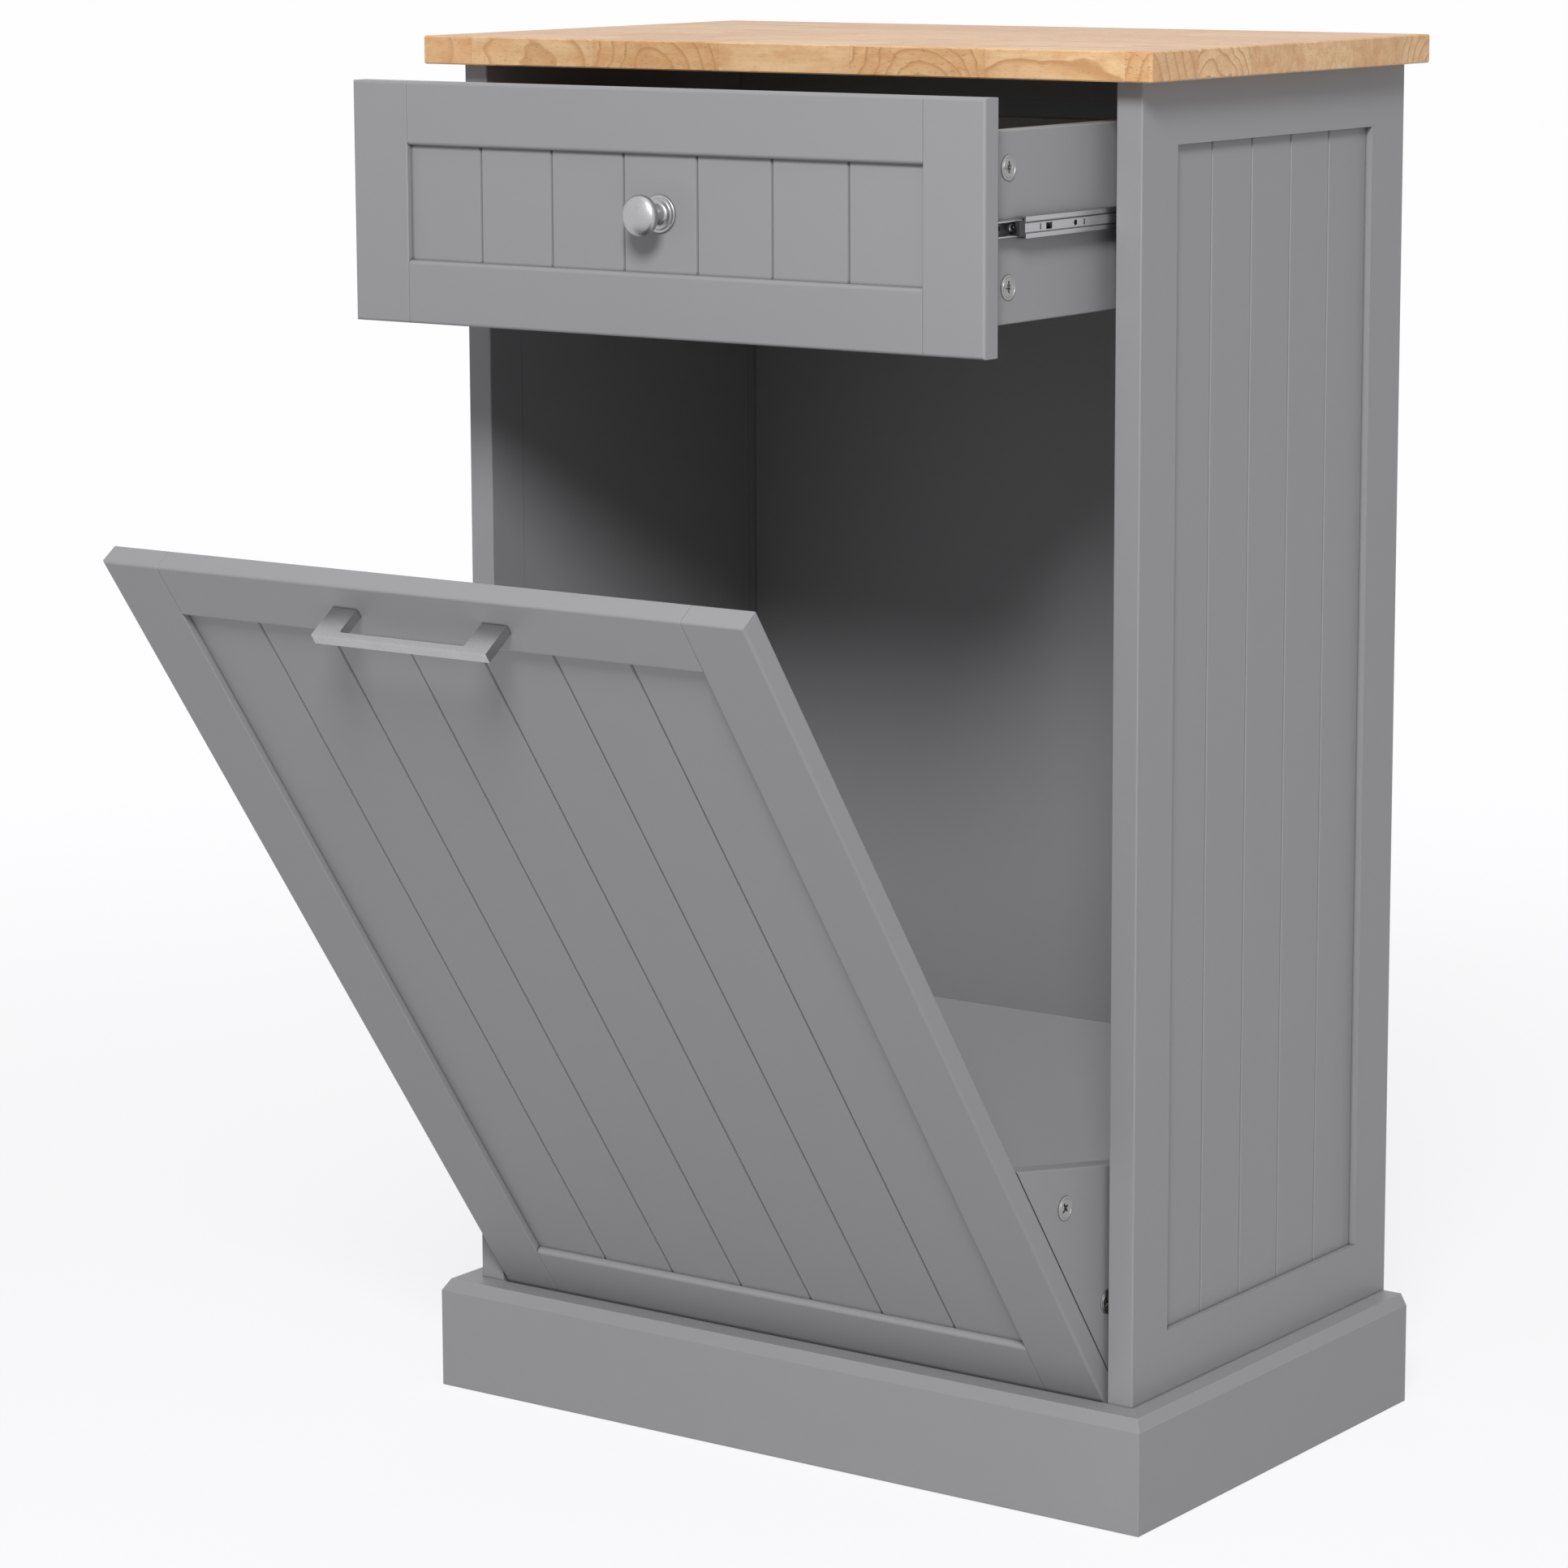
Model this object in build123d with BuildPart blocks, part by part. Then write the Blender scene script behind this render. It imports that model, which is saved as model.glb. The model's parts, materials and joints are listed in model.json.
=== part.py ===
from build123d import *
import math
import os

# A tilt-out trash cabinet, shown with its door tilted open and its drawer partly out.
# Sizes are in millimetres. X runs to the right, Y to the back and Z up. The origin is on the
# floor, in the middle of the underside of the front plinth board.

# Carcass
cabinet_height = 900
body_width = 512
body_depth = 317.5
side_thickness = 18
side_stile_width = 40.5
side_top_rail_width = 39
side_bottom_rail_above_plinth = 39.5
side_rebate = 8
side_boards = 5
side_edge_radius = 1
back_thickness = 5
back_recess = 20
back_groove_depth = 6
back_above_floor = 30
rear_rail_height = 28
rear_rail_thickness = 15
floor_thickness = 15
floor_underside = 47

# Worktop
worktop_thickness = 18
worktop_side_overhang = 18
worktop_front_overhang = 20
worktop_rear_overhang = 1
worktop_corner_ease = 1.5
worktop_edge_ease = 0.8

# Plinth
plinth_height = 73
plinth_front_thickness = 21
plinth_side_thickness = 18
plinth_rear_setback = 1.5
plinth_chamfer_height = 7.5
plinth_chamfer_depth = 5

# Framed and grooved panels, in the sides, the door and the drawer front
panel_recess = 4.5
panel_clearance = 0.3
groove_width = 2.4
groove_depth = 1.6

# Door and drawer front
front_thickness = 15
front_side_gap = 3
front_inset = 1
front_edge_radius = 1.8
front_boards = 7
front_panel_thickness = 6
stile_width = 43
rail_width = 39
rail_edge_radius = 2.5
tongue_depth = 6
joint_ease = 0.5

# Drawer
drawer_top_gap = 5
drawer_front_height = 149
drawer_out = 137.2
drawer_box_lift = 17
drawer_box_height = 112
drawer_box_depth = 255
drawer_side_thickness = 12
drawer_back_drop = 6
drawer_bottom_thickness = 4
drawer_bottom_lift = 8
drawer_groove_depth = 4
drawer_cam_margin = 21.5
board_edge_radius = 1

# Ball slides, one on each side of the drawer, drawn pulled out with it
slide_width = 12.7
slide_length = 250
slide_setback = 2
slide_wall = 1
slide_outer_height = 17
slide_outer_depth = 8.5
slide_middle_height = 13.1
slide_middle_depth = 6.5
slide_middle_offset = 3.5
slide_middle_setback = 9.5
slide_middle_out = 117.8
slide_web_height = 5.6
slide_web_raise = 0.7
slide_web_lead = 2
slide_inner_height = 9.7
slide_inner_depth = 7.4
slide_window_length = 6.5
slide_window_height = 4
slide_window_place = 23.8
slide_hole_radius = 1.75
slide_hole_place = 52.4
slide_slot_width = 1.2
slide_slot_height = 3.4
slide_slot_places = (14.5, 62)
slide_square_hole = 2.4
slide_square_hole_place = 10.9
slide_screw_inset = 24
bumper_lead = 6
bumper_thickness = 2
bumper_height = 9
bumper_tongue_length = 8
bumper_tongue_height = 3
cage_length = 110
cage_width = 4
cage_clearance = 0.1

# Door and its tray, which turn together on two pins
door_top_gap = 2.5
door_angle = 35.2
door_bottom_rail_width = 50
pin_above_plinth = 2.8
pin_to_door_bottom = 8
pin_radius = 3
pin_grip = 22
pin_reach = 10
pin_clearance = 0.05
bush_radius = 5
bush_depth = 12
tray_underside = 6.7
tray_side_thickness = 15
tray_side_height = 190
tray_rear_height = 20
tray_floor_thickness = 12
tray_floor_depth = 270
tray_cam_heights = (45.8, 131.3)
tray_screw_places = (60, 135)
stop_radius = 5
stop_depth = 10
stop_slope_place = 225
stop_clearance = 0.2

# Handle on the door
handle_length = 128
handle_reach = 24.7
handle_thickness = 6.6
handle_leg_width = 18
handle_bar_depth = 5
handle_from_top = 17
handle_inner_radius = 2
handle_edge_chamfer = 0.6

# Knob on the drawer
knob_rose_radius = 11.5
knob_rose_height = 1.4
knob_ring_radius = 9.5
knob_ring_height = 2.4
knob_neck_radius = 6.4
knob_waist_radius = 5
knob_waist_place = 8.5
knob_head_radius = 12.6
knob_head_half_height = 6.2
knob_head_middle = 19.8
knob_head_steps = 8

# Cam locks and their bolts
cam_radius = 7.5
cam_depth = 9.5
cam_proud = 0.8
cam_setback = 24
cam_cross_length = 6
cam_cross_width = 1.3
cam_cross_depth = 1.5
bolt_radius = 2.5
bolt_grip = 10
bolt_in_cam = 4
worktop_front_cam_inset = 20
worktop_rear_cam_inset = 10
floor_cam_inset = 45

# Dowels and screws. What is hidden in the boards has flat sides instead of a round section.
fit_clearance = 0.03
hidden_sides = 8
head_sides = 16
dowel_radius = 3
dowel_length = 24
rail_dowel_spread = 14
plinth_dowel_heights = (18, 54)
screw_radius = 2
screw_grip = 12
screw_head_radius = 4
screw_head_height = 2.4
slide_screw_radius = 1.5
slide_screw_head_radius = 3
slide_screw_head_height = 1.3
slide_screw_length = 11
plinth_screw_length = 30
plinth_screw_height = 25
plinth_screw_places = (60, 260)
tray_screw_length = 40
drawer_screw_length = 30
drawer_screw_margin = 24

# Places that follow from the sizes
half_body = body_width / 2
half_opening = half_body - side_thickness
body_front = plinth_front_thickness / 2
body_back = body_front + body_depth
underside = cabinet_height - worktop_thickness
back_rear = body_back - back_recess
back_front = back_rear - back_thickness
half_front = half_opening - front_side_gap
half_panel = half_front - stile_width

drawer_top = underside - drawer_top_gap
drawer_low_edge = drawer_top - drawer_front_height
drawer_face_y = body_front + front_inset - drawer_out
drawer_rear_y = drawer_face_y + front_thickness
drawer_box_bottom = drawer_low_edge + drawer_box_lift
drawer_box_back = drawer_rear_y + drawer_box_depth
half_box = half_opening - slide_width
slide_z = drawer_box_bottom + drawer_box_height / 2
slide_y = body_front + front_inset + front_thickness + slide_setback
slide_inner_y = slide_y - drawer_out
slide_middle_y = slide_y - slide_setback + slide_middle_setback - slide_middle_out
slide_middle_length = slide_length + slide_setback - slide_middle_setback
slide_screw_places = (slide_screw_inset, slide_length / 2, slide_length - slide_screw_inset)

pin_z = plinth_height + pin_above_plinth
pin_y = body_front + front_inset + front_thickness / 2
door_height = drawer_low_edge - door_top_gap - pin_z + pin_to_door_bottom
lean = math.radians(door_angle)
out_of_door = (0, -math.cos(lean), -math.sin(lean))
into_door = (0, math.cos(lean), math.sin(lean))
door_rear = front_thickness / 2


def tray_section(x):
    """Plane across the tray: local X back from the pins, local Y up the door."""
    return Plane(origin=(x, pin_y, pin_z), x_dir=into_door, z_dir=(1, 0, 0))


def rectangle(left, right, bottom, top, mode=Mode.ADD):
    with Locations(((left + right) / 2, (bottom + top) / 2)):
        Rectangle(right - left, top - bottom, mode=mode)


def board(plane, left, right, bottom, top, thickness):
    """A plain board behind the plane."""
    with BuildPart() as piece:
        with BuildSketch(plane):
            rectangle(left, right, bottom, top)
        extrude(amount=-thickness)
    return piece.part


def box_between(x, y, z):
    """A box from its two ends along X, Y and Z."""
    return board(Plane.XY.offset(z[1]), x[0], x[1], y[0], y[1], z[1] - z[0])


def rod(plane, radius, out, back):
    """A round bar that stands out of the plane and reaches back behind it."""
    with BuildPart() as piece:
        with BuildSketch(plane.offset(out)):
            Circle(radius)
        extrude(amount=-(out + back))
    return piece.part


def sided_rod(plane, radius, out, back, sides=hidden_sides):
    """The same bar with flat sides."""
    with BuildPart() as piece:
        with BuildSketch(plane.offset(out)):
            RegularPolygon(radius, sides)
        extrude(amount=-(out + back))
    return piece.part


def moved(plane, x, y, z=0):
    """The same plane with its origin moved along its own axes."""
    origin = plane.from_local_coords((x, y, z))
    return Plane(origin=origin, x_dir=plane.x_dir, z_dir=plane.z_dir)


def pair(part):
    """A right-hand piece and its mirror image on the left."""
    return [part, mirror(part, about=Plane.YZ, mode=Mode.PRIVATE)]


def groove_cutters(plane, middle, spacing, count, bottom, top):
    """V grooves up a board whose face is the plane."""
    start = plane.from_local_coords((middle, bottom, 0))
    across = Plane(origin=start, x_dir=plane.x_dir, z_dir=plane.y_dir)
    half = groove_width / 2
    with BuildPart() as cutters:
        with BuildSketch(across):
            with GridLocations(spacing, 0, count, 1):
                Polygon((-half, 0), (half, 0), (0, groove_depth), align=None)
        extrude(amount=top - bottom)
    return cutters.part


def front_stile(face, height, bottom_rail, top_rail):
    """The right stile of a framed front, grooved for its panel."""
    up = Axis(face.origin, face.y_dir)
    outward = Axis(face.origin, face.z_dir)
    with BuildPart() as stile:
        with BuildSketch(face):
            rectangle(half_panel, half_front, 0, height)
        extrude(amount=-front_thickness)
        outer_edges = stile.edges().filter_by(up).group_by(Axis.X)[-1]
        ends = stile.edges().filter_by(Axis.X)
        fillet(outer_edges + ends, radius=front_edge_radius)
        inner_edges = stile.edges().filter_by(up).group_by(Axis.X)[0]
        chamfer(inner_edges.sort_by(outward)[-1], length=joint_ease)
        groove = board(
            face.offset(-panel_recess),
            half_panel,
            half_panel + tongue_depth,
            bottom_rail - tongue_depth,
            height - top_rail + tongue_depth,
            front_panel_thickness,
        )
        add(groove, mode=Mode.SUBTRACT)
    return stile.part


def front_rail(face, bottom, top, panel_above):
    """A rail between the stiles, grooved for the panel along its inner edge."""
    up = Axis(face.origin, face.y_dir)
    outward = Axis(face.origin, face.z_dir)
    with BuildPart() as rail:
        with BuildSketch(face):
            rectangle(-half_panel, half_panel, bottom, top)
        extrude(amount=-front_thickness)
        long_edges = rail.edges().filter_by(Axis.X).group_by(up)
        inner_edges = long_edges[-1] if panel_above else long_edges[0]
        outer_edges = long_edges[0] if panel_above else long_edges[-1]
        fillet(outer_edges, radius=front_edge_radius)
        fillet(inner_edges.sort_by(outward)[-1], radius=rail_edge_radius)
        front = rail.faces().sort_by(outward)[-1]
        chamfer(front.edges().filter_by(up), length=joint_ease)
        groove_bottom = top - tongue_depth if panel_above else bottom
        groove = board(
            face.offset(-panel_recess),
            -half_panel,
            half_panel,
            groove_bottom,
            groove_bottom + tongue_depth,
            front_panel_thickness,
        )
        add(groove, mode=Mode.SUBTRACT)
    return rail.part


def front_panel(face, height, bottom_rail, top_rail):
    """The grooved panel of a framed front, held by a tongue all round."""
    tongue = tongue_depth - panel_clearance
    panel_face = face.offset(-panel_recess)
    half = half_panel + tongue
    low = bottom_rail - tongue
    high = height - top_rail + tongue
    spacing = 2 * half_panel / front_boards
    with BuildPart() as panel:
        add(board(panel_face, -half, half, low, high, front_panel_thickness))
        grooves = groove_cutters(panel_face, 0, spacing, front_boards - 1, low, high)
        add(grooves, mode=Mode.SUBTRACT)
    return panel.part


def bolt_hole(plane):
    return sided_rod(plane, bolt_radius + fit_clearance, bolt_grip, cam_setback)


def cam_pocket(plane):
    return sided_rod(plane, cam_radius + fit_clearance, 0, cam_depth, head_sides)


def cam_lock(plane, bolt_plane):
    """A cam lock set into the plane, with a cross recess and a notch for its bolt's neck."""
    with BuildPart() as cam:
        add(sided_rod(plane, cam_radius, cam_proud, cam_depth, head_sides))
        rim = cam.faces().sort_by(Axis(plane.origin, plane.z_dir))[-1].edges()
        chamfer(rim, length=cam_proud / 2)
        with BuildSketch(plane.offset(cam_proud)):
            Rectangle(cam_cross_length, cam_cross_width, rotation=45)
            Rectangle(cam_cross_width, cam_cross_length, rotation=45)
        extrude(amount=-cam_cross_depth, mode=Mode.SUBTRACT)
        add(bolt_hole(bolt_plane), mode=Mode.SUBTRACT)
    return cam.part


def cam_bolt(plane):
    """A bolt whose thread grips beyond the plane and whose neck runs back into the cam."""
    return sided_rod(plane, bolt_radius, bolt_grip, cam_setback - cam_radius + bolt_in_cam)


def dowel(plane):
    return sided_rod(plane, dowel_radius, dowel_length / 2, dowel_length / 2)


def dowel_hole(plane):
    reach = dowel_length / 2 + fit_clearance
    return sided_rod(plane, dowel_radius + fit_clearance, reach, reach)


def screw(plane, radius, head_radius, head_height, length):
    """A flat-headed screw whose head rests on the plane."""
    with BuildPart() as piece:
        add(sided_rod(plane, head_radius, head_height, 0, head_sides))
        add(sided_rod(plane, radius, 0, length))
    return piece.part


def sunk_screw(plane, radius, head_radius, length):
    """A countersunk screw whose head lies flush in the plane."""
    with BuildPart() as piece:
        with BuildSketch(plane):
            RegularPolygon(head_radius, hidden_sides)
        extrude(amount=-(head_radius - radius), taper=45)
        add(sided_rod(plane, radius, 0, length))
    return piece.part


def group(pieces):
    """Separate pieces of one kind, kept together."""
    with BuildPart() as pieces_together:
        for piece in pieces:
            add(piece)
    return pieces_together


def save(piece, name):
    piece.part.label = name
    export_step(piece.part, f"parts/{name}.step")


def save_pair(right, name):
    """The right-hand piece and its mirror image on the left."""
    save(right, f"right_{name}")
    with BuildPart() as left:
        mirror(right.part, about=Plane.YZ)
    save(left, f"left_{name}")


os.makedirs("parts", exist_ok=True)

# Planes of the fasteners on the right-hand side. Each lies on the surface that the fastener
# enters, and its local Z points along the fastener.
floor_middle = floor_underside + floor_thickness / 2
side_middle = half_body - side_thickness / 2
worktop_bolt_ys = (body_front + worktop_front_cam_inset, body_back - worktop_rear_cam_inset)
floor_bolt_ys = (body_front + floor_cam_inset, back_front - floor_cam_inset)
rail_dowel_zs = (
    underside - rear_rail_height / 2 - rail_dowel_spread / 2,
    underside - rear_rail_height / 2 + rail_dowel_spread / 2,
)


def in_side(y, z):
    """Plane on the inner face of the right side, facing into the cabinet."""
    return Plane(origin=(half_opening, y, z), x_dir=(0, 1, 0), z_dir=(-1, 0, 0))


def to_side(y, z):
    """The same place, facing into the side."""
    return Plane(origin=(half_opening, y, z), x_dir=(0, 1, 0), z_dir=(1, 0, 0))


worktop_cam_planes = [in_side(y, underside - cam_setback) for y in worktop_bolt_ys]
worktop_bolt_planes = [
    Plane(origin=(side_middle, y, underside), x_dir=(1, 0, 0), z_dir=(0, 0, 1))
    for y in worktop_bolt_ys
]
floor_cam_planes = [
    Plane(
        origin=(half_opening - cam_setback, y, floor_underside),
        x_dir=(1, 0, 0),
        z_dir=(0, 0, -1),
    )
    for y in floor_bolt_ys
]
floor_bolt_planes = [to_side(y, floor_middle) for y in floor_bolt_ys]
rail_dowel_planes = [to_side(back_front - rear_rail_thickness / 2, z) for z in rail_dowel_zs]
plinth_dowel_planes = [
    Plane(origin=(side_middle, body_front, z), x_dir=(1, 0, 0), z_dir=(0, -1, 0))
    for z in plinth_dowel_heights
]
plinth_screw_planes = [
    in_side(body_front + place, plinth_screw_height) for place in plinth_screw_places
]
outer_screw_planes = [
    moved(in_side(slide_y + place, slide_z), 0, 0, slide_wall) for place in slide_screw_places
]
pin_plane = in_side(pin_y, pin_z)
stop_down_slope = stop_slope_place / math.sqrt(2)
stop_off_slope = (stop_radius + stop_clearance) / math.sqrt(2)
stop_plane = moved(
    tray_section(half_opening),
    door_rear + stop_down_slope + stop_off_slope,
    tray_underside + tray_side_height - stop_down_slope + stop_off_slope,
)


def slide_screw(plane):
    return screw(
        plane,
        slide_screw_radius,
        slide_screw_head_radius,
        slide_screw_head_height,
        slide_screw_length,
    )


def slide_screw_hole(plane):
    return sided_rod(plane, slide_screw_radius + fit_clearance, 0, slide_screw_length)


def plinth_screw_hole(plane):
    return sided_rod(plane, screw_radius + fit_clearance, 0, plinth_screw_length)


def stop_hole():
    return rod(stop_plane, stop_radius + fit_clearance, stop_depth, 0)


# Side frames: each has an opening for its grooved panel and a rebate behind it
side_face = Plane(origin=(half_body, 0, 0), x_dir=(0, 1, 0), z_dir=(1, 0, 0))
side_panel_face = side_face.offset(-panel_recess)
side_panel_thickness = side_thickness - panel_recess
opening_front = body_front + side_stile_width
opening_back = body_back - side_stile_width
opening_bottom = plinth_height + side_bottom_rail_above_plinth
opening_top = underside - side_top_rail_width

with BuildPart() as side_frame:
    add(board(side_face, body_front, body_back, 0, underside, side_thickness))
    front_edges = side_frame.edges().filter_by(Axis.Z).group_by(Axis.Y)[0]
    fillet(front_edges, radius=side_edge_radius)
    with BuildSketch(side_face):
        rectangle(opening_front, opening_back, opening_bottom, opening_top)
    extrude(amount=-side_thickness, mode=Mode.SUBTRACT)
    rebate = board(
        side_panel_face,
        opening_front - side_rebate,
        opening_back + side_rebate,
        opening_bottom - side_rebate,
        opening_top + side_rebate,
        side_panel_thickness,
    )
    add(rebate, mode=Mode.SUBTRACT)
    back_groove = box_between(
        (half_opening, half_opening + back_groove_depth),
        (back_front, back_rear),
        (back_above_floor - panel_clearance, underside),
    )
    add(back_groove, mode=Mode.SUBTRACT)
    for plane in worktop_cam_planes:
        add(cam_pocket(plane), mode=Mode.SUBTRACT)
    for plane in worktop_bolt_planes + floor_bolt_planes:
        add(bolt_hole(plane), mode=Mode.SUBTRACT)
    for plane in rail_dowel_planes + plinth_dowel_planes:
        add(dowel_hole(plane), mode=Mode.SUBTRACT)
    for plane in outer_screw_planes:
        add(slide_screw_hole(plane), mode=Mode.SUBTRACT)
    for plane in plinth_screw_planes:
        add(plinth_screw_hole(plane), mode=Mode.SUBTRACT)
    add(rod(pin_plane, bush_radius + fit_clearance, 0, bush_depth), mode=Mode.SUBTRACT)
    add(stop_hole(), mode=Mode.SUBTRACT)
save_pair(side_frame, "side_frame")

with BuildPart() as side_panel:
    tongue = side_rebate - panel_clearance
    low = opening_bottom - tongue
    high = opening_top + tongue
    side_panel_board = board(
        side_panel_face,
        opening_front - tongue,
        opening_back + tongue,
        low,
        high,
        side_panel_thickness,
    )
    add(side_panel_board)
    side_grooves = groove_cutters(
        side_panel_face,
        (opening_front + opening_back) / 2,
        (opening_back - opening_front) / side_boards,
        side_boards - 1,
        low,
        high,
    )
    add(side_grooves, mode=Mode.SUBTRACT)
    for plane in outer_screw_planes:
        add(slide_screw_hole(plane), mode=Mode.SUBTRACT)
    add(stop_hole(), mode=Mode.SUBTRACT)
save_pair(side_panel, "side_panel")

# Back, rear rail and floor of the carcass
with BuildPart() as back_panel:
    half_back = half_opening + back_groove_depth - panel_clearance
    add(
        box_between(
            (-half_back, half_back), (back_front, back_rear), (back_above_floor, underside)
        )
    )
save(back_panel, "back_panel")

with BuildPart() as rear_top_rail:
    add(
        box_between(
            (-half_opening, half_opening),
            (back_front - rear_rail_thickness, back_front),
            (underside - rear_rail_height, underside),
        )
    )
    for plane in rail_dowel_planes:
        for hole in pair(dowel_hole(plane)):
            add(hole, mode=Mode.SUBTRACT)
save(rear_top_rail, "rear_top_rail")

with BuildPart() as floor_panel:
    add(
        box_between(
            (-half_opening, half_opening),
            (body_front, back_front),
            (floor_underside, floor_underside + floor_thickness),
        )
    )
    for plane in floor_cam_planes:
        for pocket in pair(cam_pocket(plane)):
            add(pocket, mode=Mode.SUBTRACT)
    for plane in floor_bolt_planes:
        for hole in pair(bolt_hole(plane)):
            add(hole, mode=Mode.SUBTRACT)
save(floor_panel, "floor_panel")

# Worktop
worktop_half = half_body + worktop_side_overhang
with BuildPart() as worktop:
    with BuildSketch(Plane.XY.offset(underside)) as worktop_plan:
        rectangle(
            -worktop_half,
            worktop_half,
            body_front - worktop_front_overhang,
            body_back + worktop_rear_overhang,
        )
        chamfer(worktop_plan.vertices(), length=worktop_corner_ease)
    extrude(amount=worktop_thickness)
    top_face = worktop.faces().sort_by(Axis.Z)[-1]
    low_face = worktop.faces().sort_by(Axis.Z)[0]
    chamfer(top_face.edges() + low_face.edges(), length=worktop_edge_ease)
    for plane in worktop_bolt_planes:
        for hole in pair(bolt_hole(plane)):
            add(hole, mode=Mode.SUBTRACT)
save(worktop, "worktop")

# Plinth boards, mitred at the front corners
plinth_outer = half_body + plinth_side_thickness
plinth_front_y = body_front - plinth_front_thickness
plinth_back_y = body_back - plinth_rear_setback
plinth_side_chamfer = plinth_chamfer_depth * plinth_side_thickness / plinth_front_thickness
chamfer_foot = plinth_height - plinth_chamfer_height

with BuildPart() as front_plinth:
    with BuildSketch(Plane.YZ.offset(-plinth_outer)):
        Polygon(
            (plinth_front_y, 0),
            (body_front, 0),
            (body_front, plinth_height),
            (plinth_front_y + plinth_chamfer_depth, plinth_height),
            (plinth_front_y, chamfer_foot),
            align=None,
        )
    extrude(amount=2 * plinth_outer)
    with BuildSketch():
        Polygon(
            (-plinth_outer, plinth_front_y),
            (plinth_outer, plinth_front_y),
            (half_body, body_front),
            (-half_body, body_front),
            align=None,
        )
    extrude(amount=plinth_height, mode=Mode.INTERSECT)
    for plane in plinth_dowel_planes:
        for hole in pair(dowel_hole(plane)):
            add(hole, mode=Mode.SUBTRACT)
save(front_plinth, "front_plinth")

with BuildPart() as side_plinth:
    with BuildSketch(Plane.XZ.offset(-plinth_front_y)):
        Polygon(
            (half_body, 0),
            (plinth_outer, 0),
            (plinth_outer, chamfer_foot),
            (plinth_outer - plinth_side_chamfer, plinth_height),
            (half_body, plinth_height),
            align=None,
        )
    extrude(amount=-(plinth_back_y - plinth_front_y))
    with BuildSketch():
        Polygon(
            (half_body, body_front),
            (plinth_outer, plinth_front_y),
            (plinth_outer, plinth_back_y),
            (half_body, plinth_back_y),
            align=None,
        )
    extrude(amount=plinth_height, mode=Mode.INTERSECT)
    for plane in plinth_screw_planes:
        add(plinth_screw_hole(plane), mode=Mode.SUBTRACT)
save_pair(side_plinth, "side_plinth")

# Fasteners of the carcass
carcass_cams = []
carcass_bolts = []
cam_planes = worktop_cam_planes + floor_cam_planes
bolt_planes = worktop_bolt_planes + floor_bolt_planes
for cam_plane, bolt_plane in zip(cam_planes, bolt_planes):
    carcass_cams += pair(cam_lock(cam_plane, bolt_plane))
    carcass_bolts += pair(cam_bolt(bolt_plane))
save(group(carcass_cams), "carcass_cam_locks")
save(group(carcass_bolts), "carcass_cam_bolts")

carcass_dowels = []
for plane in rail_dowel_planes + plinth_dowel_planes:
    carcass_dowels += pair(dowel(plane))
save(group(carcass_dowels), "carcass_dowels")

plinth_screws = []
for plane in plinth_screw_planes:
    plinth_screw = screw(
        plane, screw_radius, screw_head_radius, screw_head_height, plinth_screw_length
    )
    plinth_screws += pair(plinth_screw)
save(group(plinth_screws), "plinth_screws")

# Bushes for the door's pins, and the pegs that stop the door
with BuildPart() as bush:
    add(rod(pin_plane, bush_radius, 0, bush_depth))
    add(rod(pin_plane, pin_radius + pin_clearance, 0, bush_depth), mode=Mode.SUBTRACT)
save(group(pair(bush.part)), "pivot_bushes")

stop_projection = front_side_gap + tray_side_thickness
stop_peg = rod(stop_plane, stop_radius, stop_depth, stop_projection)
save(group(pair(stop_peg)), "door_stop_pegs")

# Drawer front
drawer_face = Plane(
    origin=(0, drawer_face_y, drawer_low_edge), x_dir=(1, 0, 0), z_dir=(0, -1, 0)
)
drawer_side_middle = half_box - drawer_side_thickness / 2
drawer_cam_heights = (drawer_cam_margin, drawer_box_height - drawer_cam_margin)
drawer_bolt_planes = [
    Plane(
        origin=(drawer_side_middle, drawer_rear_y, drawer_box_bottom + height),
        x_dir=(1, 0, 0),
        z_dir=(0, -1, 0),
    )
    for height in drawer_cam_heights
]
drawer_cam_planes = [
    Plane(
        origin=(half_box, drawer_rear_y + cam_setback, drawer_box_bottom + height),
        x_dir=(0, 1, 0),
        z_dir=(1, 0, 0),
    )
    for height in drawer_cam_heights
]
bottom_half_width = half_box - drawer_side_thickness + drawer_groove_depth
bottom_z = drawer_box_bottom + drawer_bottom_lift
bottom_groove = box_between(
    (-bottom_half_width, bottom_half_width),
    (drawer_rear_y - drawer_groove_depth, drawer_box_back),
    (bottom_z, bottom_z + drawer_bottom_thickness),
)

with BuildPart() as drawer_stile:
    add(front_stile(drawer_face, drawer_front_height, rail_width, rail_width))
    for plane in drawer_bolt_planes:
        add(bolt_hole(plane), mode=Mode.SUBTRACT)
    add(bottom_groove, mode=Mode.SUBTRACT)
save_pair(drawer_stile, "drawer_stile")

with BuildPart() as drawer_bottom_rail:
    add(front_rail(drawer_face, 0, rail_width, panel_above=True))
    add(bottom_groove, mode=Mode.SUBTRACT)
save(drawer_bottom_rail, "drawer_bottom_rail")

with BuildPart() as drawer_top_rail:
    rail_bottom = drawer_front_height - rail_width
    add(front_rail(drawer_face, rail_bottom, drawer_front_height, panel_above=False))
save(drawer_top_rail, "drawer_top_rail")

knob_plane = moved(drawer_face, 0, drawer_front_height / 2, -panel_recess)
knob_screw_plane = Plane(
    origin=knob_plane.from_local_coords((0, 0, -front_panel_thickness)),
    x_dir=(1, 0, 0),
    z_dir=(0, 1, 0),
)
knob_screw_length = front_panel_thickness + screw_grip
knob_screw_hole = sided_rod(
    knob_screw_plane, screw_radius + fit_clearance, 0, knob_screw_length
)

with BuildPart() as drawer_front_panel:
    add(front_panel(drawer_face, drawer_front_height, rail_width, rail_width))
    add(knob_screw_hole, mode=Mode.SUBTRACT)
save(drawer_front_panel, "drawer_front_panel")

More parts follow.
